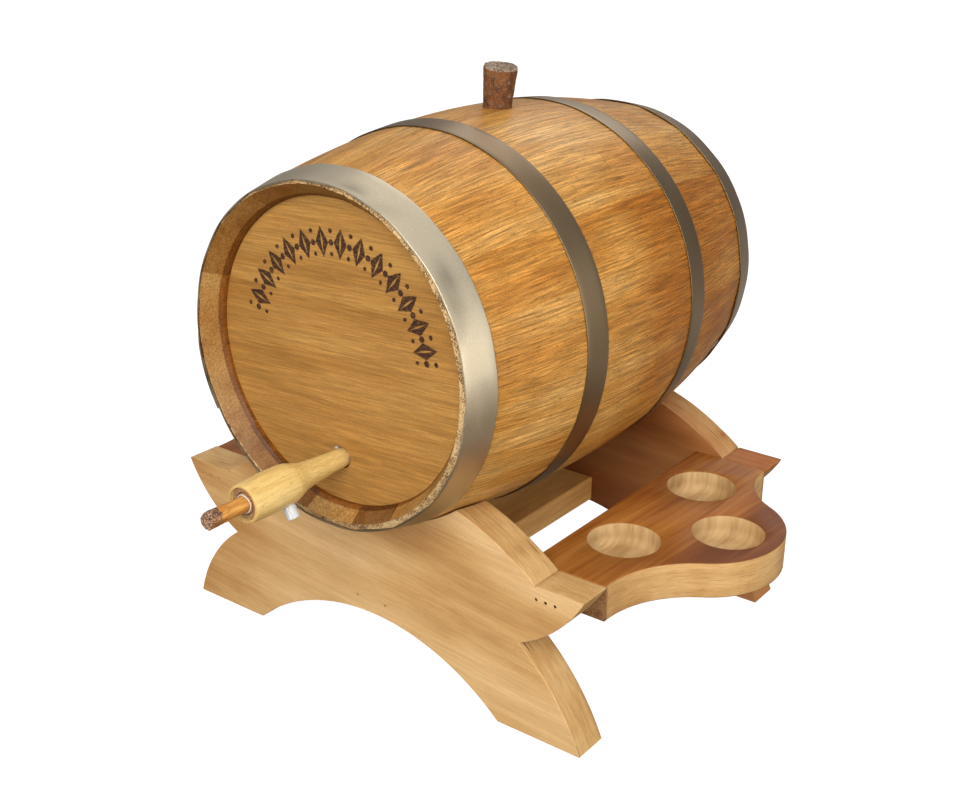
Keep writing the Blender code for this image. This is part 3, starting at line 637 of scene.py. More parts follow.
def sag_at(angle):
    angle %= 2 * math.pi
    return sag(angle, *next(pair for pair in LIMITS if angle <= pair[1]))


SAG_ANGLES = np.radians(np.arange(0, 360, 0.5))
SAGS = np.array([sag_at(angle) for angle in SAG_ANGLES])
BRIDGED_SAGS = 0.8 * sum(np.roll(SAGS, shift) for shift in range(-14, 15)) / 29


def skin(y, sagged):
    """The outside radius where it sags from the circle: a stave is flatter towards the barrel's ends."""
    flatness = 0.10 + 0.65 * (y / HALF) ** 2
    return barrel_radius(y) * (1 - flatness * sagged)


def stave_stations(bevel):
    """(place along the barrel, how far the outer edge is set back, bevel share, how much is cut out)."""
    eased = ((0.0, 0.0, 0.0), (0.0003, 0.0002, 0.02), (0.0008, 0.0006, 0.07))
    end = [(along, SET_BACK - less, share, 0.0) for along, less, share in eased]
    end += [(bevel * share, 0.0, share, 0.0) for share in (0.22, 0.45, SEAM, SEAM + 0.04, 0.86)]
    end += [(bevel - 0.0003, 0.0, 0.98, 0.0), (bevel + 0.0003, 0.0, 1.0, 0.0)]
    grooved = ((0.0, 0.0), (0.0005, 0.003), (GROOVE_WIDTH - 0.0005, 0.003), (GROOVE_WIDTH, 0.0))
    end += [(GROOVE + along, 0.0, 1.0, deep) for along, deep in grooved]
    front = [(distance - HALF, *rest) for distance, *rest in end]
    middle = [(y, 0.0, 1.0, 0.0) for y in steps_between(-0.114, 0.114, 30)]
    return front + middle + [(-y, *rest) for y, *rest in front[::-1]]


def rim_width(angle):
    """The bevel was cut a little off centre, so the rim is wider on one side."""
    return 0.0024 + 0.0014 * np.cos(angle + 0.25)


def stave_ring(y, back, share, groove, low, high):
    """One section of a stave: the outside with eased long edges, then the inside."""
    outer_y = y - math.copysign(back, y)
    angles = steps_between(low, high, STAVE_STEPS)
    points = []
    for i, angle in enumerate(angles):
        eased = (0.0001 if back else 0.0) + (0.00007 if i in (0, STAVE_STEPS) else 0.0)
        points.append((skin(outer_y, sag(angle, low, high)) - eased, outer_y, angle))
    for angle in angles[::-1]:
        rim = rim_width(angle)
        points.append((barrel_radius(y) - (rim + (WALL - rim) * share - groove), y, angle))
    ring = []
    for radius, place, angle in points:
        inset = 0.00002 / radius
        kept = min(max(angle, low + inset), high - inset)
        ring.append((radius * math.cos(kept), place, radius * math.sin(kept)))
    return ring


def weather_ends(points):
    """Chips and saw marks on the narrow rims at both ends of the staves."""
    on_rim = ramped(HALF - np.abs(points[:, 1]), 0.0014, -0.0014)
    radius = np.hypot(points[:, 0], points[:, 2])
    chip = np.abs(rough(points, 420, 0.0006, 2.0)) + np.abs(rough(points, 1500, 0.0004, 7.0))
    inward = rough(points, 700, 0.0006, 4.0)
    inner = radius < barrel_radius(points[:, 1]) - 0.0015
    factor = 1 + np.where(inner, inward, -np.abs(inward) * 0.4) * on_rim / np.maximum(radius, 1e-6)
    moved = points * np.stack([factor, np.ones(len(points)), factor], 1)
    moved[:, 1] -= np.sign(points[:, 1]) * chip * on_rim
    return moved


def stave_values(number, middle, tone, end_tint, bevel, co):
    x, y, z = co.T
    angle = np.arctan2(z, x)
    turn = (angle - middle + math.pi) % (2 * math.pi) - math.pi
    radius = np.hypot(x, z)
    outside = barrel_radius(y)
    near_end = HALF - np.abs(y)
    width = rim_width(angle)
    across = (radius - outside + width) / width
    on_rim = near_end - 0.0007 - SET_BACK * np.clip(across, 0, 1)
    rim = ramped(on_rim, 0.0003, -0.0003) * (across > -0.15)
    inside = radius < outside - width - 0.0001
    on_bevel = ramped(near_end, bevel + 0.0004, -0.0004) * inside
    seam = ramped(near_end / bevel, SEAM, 0.04) * inside * (near_end < GROOVE + 0.0003)
    # Painted shade: the staves' outsides are darker on the right side of the rear half.
    painted_shade = ramped(y, -0.02, 0.03) * ramped(angle, 1.05, -0.6) * (angle > -1.2)
    shift = np.array([0.731, 1.37, 0.517]) * number
    return {
        "grain": np.stack([turn * radius, y, radius - outside], 1) + shift,
        "rim": np.maximum(rim, 0.12 * on_bevel * (1 - seam)),
        "tone": np.where(on_bevel > 0, tone + end_tint, tone + 0.15 - 1.25 * painted_shade),
        "seam": seam * 0.92,
        "shade": on_bevel * np.clip(0.31 - 0.16 * end_tint, 0.15, 0.55),
    }


def make_staves():
    picks = np.random.default_rng(11)
    tones = picks.uniform(0.38, 0.62, STAVES)
    bevels = BEVEL + picks.uniform(-0.0008, 0.0006, STAVES)
    tints = picks.uniform(-1.1, 0.25, STAVES)
    for i, (low, high) in enumerate(LIMITS):
        middle = (low + high) / 2
        tint = -1.8 if 282 <= math.degrees(middle) <= 300 else tints[i]
        holds_bung = low < math.pi / 2 < high
        rings = [stave_ring(*station, low, high) for station in stave_stations(bevels[i])]
        points, faces = loft(rings)
        mesh = to_mesh(weather_ends(points), faces)
        if holds_bung:
            mesh = cut(mesh, bung_hole())
        values = partial(stave_values, i + 1, middle, tones[i], tint, bevels[i])
        dress("bung_stave" if holds_bung else f"stave_{i + 1:02d}", "oak", mesh, STAVE_WOOD, values, 28)


def head_sections():
    """(height over the head's face, radius), down through the tongue that sits in the staves' groove."""
    wall = barrel_radius(HEAD_FACE) - WALL - 0.0002
    tongue = wall + 0.003
    top = HEAD_INSET - GROOVE - 0.0005 - GAP
    bottom = HEAD_INSET - GROOVE - GROOVE_WIDTH + 0.0005 + GAP
    return (
        (0.0, wall - 0.0002), (-0.0002, wall), (top, wall), (top, tongue),
        (bottom, tongue), (bottom, wall), (-HEAD_THICK, wall - 0.0020),
    )


def head_ring(radius, low, high):
    """The part of a circle between two heights, as a ring of points (x, z)."""
    low, high = (min(max(height, -radius), radius) for height in (low, high))
    right = steps_between(math.asin(low / radius), math.asin(high / radius), 40)
    points = [(radius * math.cos(a), radius * math.sin(a)) for a in right]
    return points + [(-x, z) for x, z in points[::-1]]


def head_values(order, side, co):
    x, y, z = co.T
    grain = np.stack([z - 0.05 * x, x * side, y], 1)
    grain += np.array([0.4, 2.3, 0.9]) * (order + 1) * (1 if side < 0 else 2.7)
    return {"grain": grain, "tone": (0.50, 0.47, 0.53)[order], "disc": np.stack([x, z, 0 * y], 1)}


def make_heads():
    bands = (("top", HEAD_JOINT, 1.0), ("middle", -HEAD_JOINT, HEAD_JOINT), ("bottom", -1.0, -HEAD_JOINT))
    for end, side, material in (("front", -1, FRONT_HEAD_WOOD), ("rear", 1, REAR_HEAD_WOOD)):
        for order, (band, low, high) in enumerate(bands):
            rings = []
            for height, radius in head_sections():
                ring = head_ring(radius, low + 0.00002, high - 0.00002)
                rings.append([(x, side * (HEAD_FACE + height), z) for x, z in ring])
            mesh = to_mesh(*loft(rings))
            if side < 0 and band == "bottom":
                mesh = cut(mesh, turned(rod(0.0058, -0.020, 0.005), 48, OUT_OF_HEAD))
            dress(f"{end}_head_{band}_board", "oak", mesh, material, partial(head_values, order, side))


def hoop_lift(angle):
    """How high the strip lies: its last stretch climbs over its first one."""
    climbed = min(max((angle - LAP - math.radians(340)) / math.radians(8), 0), 1)
    return GAP + climbed * climbed * (3 - 2 * climbed) * (HOOP + GAP)


def hoop_section(outer, inner, flare, angle):
    """A flat strip with rounded edges, which bridges the staves' flats on its outside."""
    width = abs(outer - inner)
    lift = hoop_lift(angle)
    bridged = np.interp(angle, SAG_ANGLES, BRIDGED_SAGS, period=2 * math.pi)
    eased = [(0.0, 0.00016), (0.0001 / width, 0.00005), (0.0004 / width, 0.0)]
    shares = eased + [(share, 0.0) for share in (0.2, 0.4, 0.6, 0.8)]
    shares += [(1 - share, ease) for share, ease in eased[::-1]]
    under, over = [], []
    for share, ease in shares:
        y = outer + (inner - outer) * share
        base = lift + flare * share
        under.append((skin(y, sag_at(angle)) + base - 0.0002 + ease * 0.5, y))
        over.append((skin(y, bridged) + base + STRIP - ease, y))
    return [(radius * math.cos(angle), y, radius * math.sin(angle)) for radius, y in under + over[::-1]]


# Soft dark patches on the front head hoop: (degrees, place, spread, spread, depth). The first three are
# blotches on the steel; the last two are painted shade, low on the right where the hoop faces the cradle, and
# at the upper left.
DARK_MARKS_AND_SHADE = (
    (37, -0.1335, 4.5, 0.0038, 0.50), (29, -0.1350, 3.5, 0.0030, 0.40), (77, -0.1355, 5.0, 0.0030, 0.60),
    (-58, -0.1307, 27, 0.0200, 0.95), (108, -0.1307, 20, 0.0200, 0.28),
)


def hoop_values(outer, inner, shift, dark_marks_and_shade, co):
    x, y, z = co.T
    angle = np.arctan2(z, x)
    share = ramped(y, outer, inner - outer)
    from_edge = np.minimum(share, 1 - share) * abs(outer - inner)
    shade = np.zeros(len(co))
    for centre, place, wide, tall, depth in dark_marks_and_shade:
        away = (np.degrees(angle) - centre + 180) % 360 - 180
        shade += depth * np.exp(-((away / wide) ** 2) - ((y - place) / tall) ** 2)
    run = np.stack([np.cos(angle) * 0.1, y, np.sin(angle) * 0.1], 1) + shift
    return {"run": run, "edge": ramped(from_edge, 0.00015, -0.00015), "shade": np.clip(shade, 0, 0.92)}


def make_hoops():
    lap = math.radians(9)
    angles = steps_between(LAP - lap, LAP + lap + 2 * math.pi, 378)
    for end, side in (("front", -1), ("rear", 1)):
        for kind, outer, inner, flare in (("head", 0.1400, 0.1214, 0.0002), ("bilge", 0.0592, 0.0427, 0.0)):
            node = f"{end}_{kind}_hoop"
            outer, inner = side * outer, side * inner
            rings = [hoop_section(outer, inner, flare, angle) for angle in angles]
            rivet = rivet_place((outer + inner) / 2, flare / 2)
            mesh = cut(to_mesh(*loft(rings)), turned(rod(0.00165, -0.0002, 0.006), 24, rivet))
            foremost = node == "front_head_hoop"
            shift = len(node) * 1.31 + side
            values = partial(hoop_values, outer, inner, shift, DARK_MARKS_AND_SHADE if foremost else ())
            dress(node, "steel", mesh, FRONT_STEEL_PAINTED_PALE if foremost else HOOP_STEEL_PAINTED_DARK, values, 50)
            dress(node + "_rivet", "iron", turned(rivet_profile(), 32, rivet), IRON, angle=40)


def rivet_place(y, lift):
    radius = skin(y, sag_at(LAP)) + lift
    slope = math.atan(2 * (BELLY - END) * abs(y) / HALF**2)
    place = Matrix.Translation((radius * math.cos(LAP), y, radius * math.sin(LAP)))
    lean = Matrix.Rotation(slope if y < 0 else -slope, 4, "X")
    return place @ Matrix.Rotation(math.pi / 2 - LAP, 4, "Y") @ lean


def rivet_profile():
    top = HOOP + 3 * GAP + STRIP
    dome = [(0.0031 * math.sin(a), top + 0.0010 * math.cos(a)) for a in steps_between(0, math.pi / 2, 10)]
    return dome + [(0.0030, top), (0.0015, top), (0.0015, GAP), (0, GAP)]


# ---------------------------------------------------------------- bung


RISE = 0.0223
TO_BUNG = Matrix.Translation(JOINTS["bung_pull"]["pos_m"] - CENTRE) @ (
    Vector((0, 0, 1)).rotation_difference(Vector(JOINTS["bung_pull"]["axis"])).to_matrix().to_4x4()
)


def bung_radius(height):
    return 0.0080 + 0.0015 * height / RISE


def bung_hole():
    profile = [(bung_radius(height) + 0.00012, height) for height in (0.005, -0.020)]
    return turned([(0, 0.005), *profile, (0, -0.020)], 64, TO_BUNG)


def chipped(points):
    """The bung's side and top, chipped by a mallet."""
    radius = np.hypot(points[:, 0], points[:, 1])
    amount = rough(points * np.array([1, 1, 0.25]), 800, 0.00035, 3.0) + rough(points, 300, 0.00030, 8.0)
    amount += rough(points, 2200, 0.00022, 5.0) - 0.00020
    amount = np.minimum(amount, 0.0) * ramped(points[:, 2], 0.0005, 0.0015) - 0.00008
    moved = scaled_radius(points, amount * (radius > 0.0055))
    face = ramped(points[:, 2], RISE - 0.0006, 0.0003)
    moved[:, 2] -= face * (np.abs(rough(points, 450, 0.0010, 5.0)) + np.abs(rough(points, 1600, 0.0004, 6.0)))
    return moved


def local_points(co, matrix):
    """Points in the frame of a turned piece that the matrix places."""
    back = matrix.inverted()
    return co @ np.array(back.to_3x3()).T + np.array(back.translation)


def bung_values(co):
    local = local_points(co, TO_BUNG)
    top = ramped(local[:, 2], RISE - 0.0014, 0.0006)
    scuffs = np.clip(rough(local, 420, 1.0, 12.0) + rough(local, 1700, 1.0, 3.0) - 0.42, 0, 1) * 2.0
    rim = np.maximum(top * 0.9, np.clip(scuffs, 0, 0.7))
    return {"grain": local[:, [0, 2, 1]], "rim": rim, "tone": 0.5}


def make_bung():
    top = [(r, RISE) for r in (0, 0.0012, 0.0024, 0.0036, 0.0048, 0.0060, 0.0070, 0.0078, 0.0084, 0.0088)]
    top += [(0.0092, RISE - 0.0001), (0.00945, RISE - 0.0004)]
    side = [(bung_radius(height), height) for height in steps_between(RISE - 0.0010, -0.0134, 60)]
    mesh = turned(top + side + [(0.0068, -0.0140), (0, -0.0140)], 128, TO_BUNG, chipped)
    dress("bung", "plug", mesh, BUNG_WOOD, bung_values, 60)


# ---------------------------------------------------------------- tap


# Along the tap, distances are from the head's face out to the key's grip.
SPOUT_ROLL = math.radians(30)
SPOUT_AT = 0.0443
PORT = 0.0016
KEY_END = 0.0929
GRIP = KEY_END - 0.0112
OUT_OF_HEAD = Matrix.Translation((0, -HEAD_FACE, TAP_LEVEL)) @ Matrix.Rotation(math.pi / 2, 4, "X")
SPOUT_TOP = Matrix.Translation((0, -HEAD_FACE - SPOUT_AT, TAP_LEVEL))
DOWN_SPOUT = SPOUT_TOP @ Matrix.Rotation(math.pi - SPOUT_ROLL, 4, "Y")


def bush_radius(distance):
    return 0.0068 + 0.0012 * (distance - 0.0310) / 0.0373


def tap_values(co):
    """Grain runs along the tap's axis."""
    return {"grain": co - np.array([0, 0, TAP_LEVEL]), "tone": 0.5}


def smooth_profile(*points):
    """Five extra points between each two of the given ones, on a Catmull-Rom curve."""
    points = [np.array(p, float) for p in points]
    padded = [2 * points[0] - points[1], *points, 2 * points[-1] - points[-2]]
    made = []
    for a, b, c, d in zip(padded, padded[1:], padded[2:], padded[3:]):
        for t in steps_between(0, 1, 6)[:-1]:
            bend = (2 * a - 5 * b + 4 * c - d) * t * t + (3 * b - a - 3 * c + d) * t**3
            made.append(0.5 * (2 * b + (c - a) * t + bend))
    return [tuple(map(float, p)) for p in [*made, points[-1]]]


def tooled(points):
    """Fine rings that the lathe left on the tap body's outside."""
    radius = np.hypot(points[:, 0], points[:, 1])
    bored = np.interp(points[:, 2], (-0.015, 0.0, 0.03, 0.04, 0.07), (0.004, 0.0048, 0.0070, 0.0095, 0.0093))
    ring = 0.00003 * np.sin(points[:, 2] * 5200) + rough(points, 260, 0.00010, 2.0) - 0.00008
    return scaled_radius(points, np.where(radius > bored, np.minimum(ring, 0), 0))


def body_values(co):
    distance = -HEAD_FACE - co[:, 1]
    mouth = ramped(distance, 0.0692, 0.0006) * 0.55
    stain = ramped(distance, 0.0050, -0.0045) * 0.45
    return {**tap_values(co), "rim": np.maximum(mouth, stain)}


def make_tap_body():
    mouth = [(0.00860, 0.0698), (0.0095, 0.06975), (0.00992, 0.0694), (0.0101, 0.0688)]
    outside = smooth_profile(
        (0.0101, 0.0690), (0.0106, 0.0578), (0.0107, 0.0520), (0.0106, 0.0430), (0.01035, 0.0403)
    )
    neck = smooth_profile(
        (0.0101, 0.0390), (0.0089, 0.0350), (0.0075, 0.0300), (0.0064, 0.0220), (0.0057, 0.0120),
        (0.0052, 0.0008),
    )
    inside = [(0.0048, -0.0150), (0.0020, -0.0150), (0.0020, 0.0307)]
    inside += [(bush_radius(distance) + GAP, distance) for distance in (0.0307, 0.0694)]
    mesh = turned(mouth + outside[1:] + neck + inside, 96, OUT_OF_HEAD, tooled)
    mesh = cut(mesh, turned(rod(0.0034 + GAP, 0.003, 0.014), 48, DOWN_SPOUT))
    dress("tap_body", "wood", mesh, TAP_WOOD, body_values, 32)


def tube(low_radius, high_radius, inner, low, high, edge):
    return [
        (inner, high - edge), (inner + edge, high), (high_radius - edge, high), (high_radius, high - edge),
        (low_radius, low + edge), (low_radius - edge, low), (inner + edge, low), (inner, low + edge),
    ]


def worn_lip(points):
    """The sleeve's front edge is cut by hand, so it stands out further in some places."""
    angle = np.arctan2(points[:, 1], points[:, 0])
    moved = points.copy()
    moved[:, 2] -= (points[:, 2] > 0.0688) * (0.00045 * (0.5 + 0.5 * np.sin(3 * angle + 0.6)))
    return moved


def sleeve_values(co):
    """The rim attribute marks where the cork touched the sleeve."""
    return {**tap_values(co), "rim": ramped(np.hypot(co[:, 0], co[:, 2] - TAP_LEVEL), 0.00478, 0.00006)}


def spout_values(co):
    return {"grain": local_points(co, DOWN_SPOUT)[:, [0, 2, 1]]}


def make_linings():
    """The cork bush, the plastic sleeve in it and the spout."""
    bush = turned(tube(0.0068, 0.0080, 0.0058, 0.0310, 0.0683, 0.0002), 72, OUT_OF_HEAD)
    bush = cut(bush, turned(rod(PORT, 0, 0.014), 24, DOWN_SPOUT))
    dress("tap_cork_bush", "cork", bush, CORK, tap_values, 40)
    profile = [
        (0.0044, 0.0312), (0.0044, 0.0690), (0.00445, 0.0694), (0.00475, 0.0694), (0.0048, 0.0690),
        (0.0049, 0.0686), (0.0054, 0.0685), (0.0055, 0.0683), (0.0055, 0.0312), (0.0054, 0.0310),
        (0.0045, 0.0310),
    ]
    sleeve = turned(profile, 96, OUT_OF_HEAD, worn_lip)
    sleeve = cut(sleeve, turned(rod(PORT, 0, 0.014), 24, DOWN_SPOUT))
    dress("tap_sleeve", "plastic", sleeve, SLEEVE, sleeve_values, 40)
    start = bush_radius(SPOUT_AT) + 2 * GAP
    spout = turned(tube(0.0034, 0.0034, 0.0024, start, 0.0170, 0.00025), 64, DOWN_SPOUT)
    dress("tap_spout", "plastic", spout, PLASTIC, spout_values, 40)


def dense(profile, longest):
    """The profile with points added so that no step is longer than given."""
    made = [profile[0]]
    for near, far in zip(profile, profile[1:]):
        parts = max(1, math.ceil(math.dist(near, far) / longest))
        made += zip(*(steps_between(a, b, parts)[1:] for a, b in zip(near, far)))
    return made


def worn(points):
    """The key's grip is rough all round, and what shows of its stem is lightly worn."""
    radius = np.hypot(points[:, 0], points[:, 1])
    on_grip = ramped(points[:, 2], GRIP - 0.0004, 0.0012)
    shown = ramped(points[:, 2], 0.0700, 0.002)
    bite = np.minimum(rough(points, 1100, 0.00035, 1.0) + rough(points, 420, 0.0002, 4.0) - 0.0001, 0.0)
    light = np.minimum(rough(points, 500, 0.00010, 6.0) - 0.00006, 0.0)
    change = bite * on_grip + light * shown * (1 - on_grip)
    moved = scaled_radius(points, np.where(radius > 0.0034, change, 0))
    moved[:, 2] -= (points[:, 2] > KEY_END - 0.0005) * np.abs(rough(points, 900, 0.0005, 9.0))
    return moved


def key_values(co):
    distance = -HEAD_FACE - co[:, 1]
    lit = np.clip(0.5 + (co[:, 2] - TAP_LEVEL) / 0.0060, 0.25, 1)
    charred = ramped(distance + rough(co, 600, 0.0016, 2.0), KEY_END - 0.0076, 0.0007) * lit
    face = ramped(distance, KEY_END - 0.0016, 0.0008) * 0.95
    return {**tap_values(co), "rim": np.maximum(charred, face)}


def make_key():
    """A turned stem, flatted and rough at the grip, with a blind core and a port across it."""
    below_end = (
        (0, 0.0002), (0.0020, 0.0), (0.0034, 0.0), (0.0041, 0.0002), (0.0047, 0.0008), (0.00475, 0.002),
        (0.00462, 0.004), (0.00455, 0.006), (0.00448, 0.008), (0.0044, 0.0112), (0.0041, 0.0122),
        (0.00405, 0.0152),
    )
    stem = [(radius, KEY_END - below) for radius, below in below_end]
    stem += [(0.0041, distance) for distance in steps_between(0.0740, 0.0320, 12)]
    stem += [(0.0040, 0.0313), (0.0017, 0.0313), (0.0017, SPOUT_AT + PORT), (0, SPOUT_AT + PORT)]
    mesh = turned(dense(stem, 0.0009), 80, OUT_OF_HEAD, worn)
    closed = SPOUT_TOP @ Matrix.Rotation(math.pi / 2 - SPOUT_ROLL, 4, "Y")
    mesh = cut(mesh, turned(rod(PORT, 0, 0.006), 24, closed))
    lean = Matrix.Translation((0, -HEAD_FACE, TAP_LEVEL)) @ Matrix.Rotation(math.radians(35), 4, "Y")
    for low, high in ((-0.012, -0.0037), (0.0037, 0.012)):
        flat = box((low, -KEY_END - 0.004, -0.012), (high, -GRIP - 0.001, 0.012))
        flat.transform(lean)
        mesh = cut(mesh, flat)
    dress("tap_key", "wood", mesh, KEY_WOOD, key_values)


def make_tape():
    """Tufts of frayed sealing tape where the neck enters the head."""
    count = 24
    for name, first, last, height in (("upper", 104, 132, 0.0013), ("side", 4, 18, 0.0007)):
        rings = []
        for i, angle in enumerate(steps_between(math.radians(first), math.radians(last), count)):
            taper = math.sin(math.pi * i / count) ** 0.5 if 0 < i < count else 0.0
            fray = height * abs(math.sin(i * 1.9) * math.cos(i * 0.83 + 0.4)) * taper
            high = 0.00530 + 0.0001 * taper + fray
            length = 0.0005 + 0.9 * fray
            ring = [(0.00522, 0.0003), (high + 0.00003, 0.0004 + length * 0.3)]
            ring += [(high - 0.00006, 0.0006 + length), (0.00522, 0.0005 + length * 0.7)]
            across, up = math.cos(angle), math.sin(angle)
            rings.append([(r * across, -HEAD_FACE - d, TAP_LEVEL + r * up) for r, d in ring])
        tape = add_piece(f"tap_seal_tape_{name}", to_mesh(*loft(rings)), PLASTIC, plain_grain, 60)
        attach(tape, "barrel")


# ---------------------------------------------------------------- cradle


def board_side(reach, waist, leg_bulge, crossing):
    """Half a board's outline, from where its arm meets the saddle, down to the foot."""
    crown, slope = (0.0500, -0.0739), (0.0957, -0.0934)
    top = [crown, *arc(crown, slope, 0.0023, 200)]
    outer = next(i for i, point in enumerate(top) if math.hypot(*point) > crossing)
    near, far = (math.hypot(*top[i]) for i in (outer - 1, outer))
    points = [tuple(Vector(top[outer - 1]).lerp(Vector(top[outer]), (crossing - near) / (far - near)))]
    points += [top[outer + round(step)] for step in steps_between(0, 200 - outer, 16)[1:]]
    points += arc(slope, (0.1076, -0.1016), 0.0003, 4)
    points += [(0.1081, -0.10200), (0.1084, -0.1032), (0.1089, -0.1032), (0.1091, -0.1025), (0.1096, LEDGE)]
    tip = 0.1371 + reach
    points += [(x, LEDGE) for x in steps_between(0.112, tip - 0.0008, 8)]
    points += [(tip - 0.0002, LEDGE - 0.0001), (tip, LEDGE - 0.0003)]
    points += arc((tip, LEDGE - 0.0005), waist, 0.0042, 22)
    points += arc(waist, (0.1387, FLOOR + 0.0005), leg_bulge, 26)
    return points + [(0.1383, FLOOR), (0.0870, FLOOR)]


def board_ring(y, ease):
    """The whole outline at one depth: both sides, the arch, and the tapered saddle."""
    crossing = barrel_radius(y) + GAP
    right = board_side(0.0, (0.0992, -0.1385), 0.0040, crossing)
    left = [(-x, z) for x, z in board_side(LEFT_REACH, (0.1044, -0.1405), 0.0053, crossing)]
    foot = (0.0866, FLOOR + 0.0002)
    arch = arc(foot, (-foot[0], foot[1]), -0.0337, 64)
    ends = (math.degrees(math.atan2(z, x)) for x, z in (left[0], right[0]))
    saddle = around((0, 0), crossing, *ends, 72)[1:-1]
    return shrunk(right + [foot] + arch + left[::-1] + saddle, ease)


def nails_of(*groups):
    """(name, x, z) of each nail of these groups."""
    return [
        (f"{group}_nail_{number}", x, NAILS[group][0])
        for group in groups for number, x in enumerate(NAILS[group][1], 1)
    ]


def into_board(x, z, side, sunk=0.0):
    turn = Matrix.Rotation(-side * math.pi / 2, 4, "X")
    return Matrix.Translation((x, side * (BOARD_FACE - sunk), z)) @ turn


def nail_hole(x, z, side):
    """The hole that a driven nail leaves, with a crushed lip at the face."""
    profile = [(0, 0.003), (0.0011, 0.003), (0.0010, 0.0), (0.00090, -0.0002), (0.00088, -0.0016)]
    profile += [(0.00080, -0.0018), (0.00080, -0.0402), (0, -0.0402)]
    return turned(profile, 16, into_board(x, z, side))


def make_nail(node, x, z, side):
    profile = [(0, -0.00005), (0.0004, 0.0), (0.00075, -0.00005), (0.00084, -0.0002), (0.00084, -0.0012)]
    profile += [(0.00076, -0.0016), (0.00076, -0.0376), (0, -0.0396)]
    mesh = turned(profile, 20, into_board(x, z, side, 0.00005 if "rail" in node else 0.0003))
    dress(node, "iron", mesh, IRON if "right" in node else FILLED_IRON, angle=40)


def board_values(side, co):
    """Grain runs along the board, and the sawn edges show its layers as lines along the outline. The tone
    carries painted light, and the rear board's inner face painted shadow of the barrel.
    """
    x, y, z = co.T
    start = (0.21, 0.83, 0.4) if side < 0 else (1.37, 2.9, 1.1)
    edge = ramped(np.abs(np.abs(y) - (BOARD_FACE - BOARD / 2)), BOARD / 2, -0.0003)
    leg = ramped(z, -0.120, -0.04) * ramped(x, 0, 0.05)
    found = {
        "grain": np.stack([z + 0.10 * x, x, y], 1) + start,
        "edge": edge,
        "run": np.stack([y + 0.02 * x, x, z], 1) + 0.3 * side,
        # Painted light and shade: the tone is darker towards the left and lighter on the lower right leg.
        "tone": 0.5 - 0.20 * ramped(x, 0.02, -0.12) + 0.45 * leg,
    }
    if side > 0:
        inner = (y < BOARD_FACE - BOARD / 2) & (edge < 0.5)
        ledge = (z > LEDGE - 0.0006) & (x > 0.1085)
        foot = (z < -0.115) & (edge > 0.5)
        arm = (z > LEDGE + 0.0005) & (y < BOARD_FACE - BOARD * 0.55)
        knot = np.exp(-(((x - 0.099) / 0.0035) ** 2) - ((y - 0.1045) / 0.0022) ** 2) * (edge > 0.5)
        # Painted shadow of the barrel: the rear board's inner face is painted dark red-brown, more so towards
        # the middle.
        fade = 0.92 - 0.30 * ramped(x, 0.045, 0.06)
        dark_marks_and_shade = (ledge * 0.75, foot * 0.60, inner * fade, arm * 0.40, 0.22 * edge, knot * 0.9)
        found["seam"] = np.max(dark_marks_and_shade, axis=0)
        # More painted shadow of the barrel on the inner face, deepest towards the middle.
        found["shade"] = inner * 0.45 * ramped(x, 0.115, -0.08)
    return found


def make_boards():
    for end, side in (("front", -1), ("rear", 1)):
        skin_eases = ((0.0, 0.00022), (0.0001, 0.00008), (0.0003, 0.0))
        stations = [(BOARD_FACE - depth, ease) for depth, ease in skin_eases]
        stations += [(BOARD_FACE - depth, 0.0) for depth in steps_between(0.002, BOARD - 0.002, 8)]
        stations += [(BOARD_FACE - BOARD + depth, ease) for depth, ease in skin_eases[::-1]]
        rings = [[(x, side * y, z) for x, z in board_ring(y, ease)] for y, ease in stations]
        nails = nails_of(*NAILS)
        mesh = cut(to_mesh(*loft(rings)), *[nail_hole(x, z, side) for _, x, z in nails])
        dress(f"{end}_cradle_board", "wood", mesh, BOARD_WOOD, partial(board_values, side))
        for name, x, z in nails:
            make_nail(f"{end}_{name}", x, z, side)


def shelf_ring(side, reach, ease):
    """A straight side against the boards, and a round nose between two coves."""
    side_x, nose_x, nose_y, nose_radius = 0.1364 + reach, 0.1385 + reach, 0.0040, 0.0465
    inner = [(0.0911, y) for y in steps_between(INNER, -INNER, 12)]
    inner += [(x, -INNER) for x in steps_between(0.0911, side_x, 6)[1:]]
    coves, swings = [], []
    for radius, turn in ((0.0580, -1), (0.0450, 1)):
        across = side_x + radius - nose_x
        along = math.sqrt((nose_radius + radius) ** 2 - across**2)
        swing = turn * math.degrees(math.atan2(along, across))
        first, last = (180, 180 + swing) if turn < 0 else (180 + swing, 180)
        steps = 26 if turn < 0 else 24
        coves.append(around((nose_x + across, nose_y + turn * along), radius, first, last, steps))
        swings.append(swing)
    nose = around((nose_x, nose_y), nose_radius, *swings, 64)
    back = [(x, INNER) for x in steps_between(side_x, 0.0911, 6)[:-1]]
    ring = shrunk(inner + coves[0] + nose[1:] + coves[1][1:] + back, ease)
    return [(side * x, y) for x, y in ring]


def pocket_cutter(x, y):
    """A cup pocket with an eased lip and a rounded foot."""
    radius, depth, fillet = 0.0195, 0.0120, 0.0050
    profile = [(0, 0.006), (radius + 0.0006, 0.006), (radius + 0.0006, 0.0), (radius + 0.0002, -0.0002)]
    corner = around((radius - fillet, fillet - depth), fillet, 0, -90, 8)
    profile += [(radius, -0.0006), *corner, *((r, -depth) for r in (0.010, 0.006, 0.003, 0))]
    return turned(profile, 96, Matrix.Translation((x, y, LEDGE)))


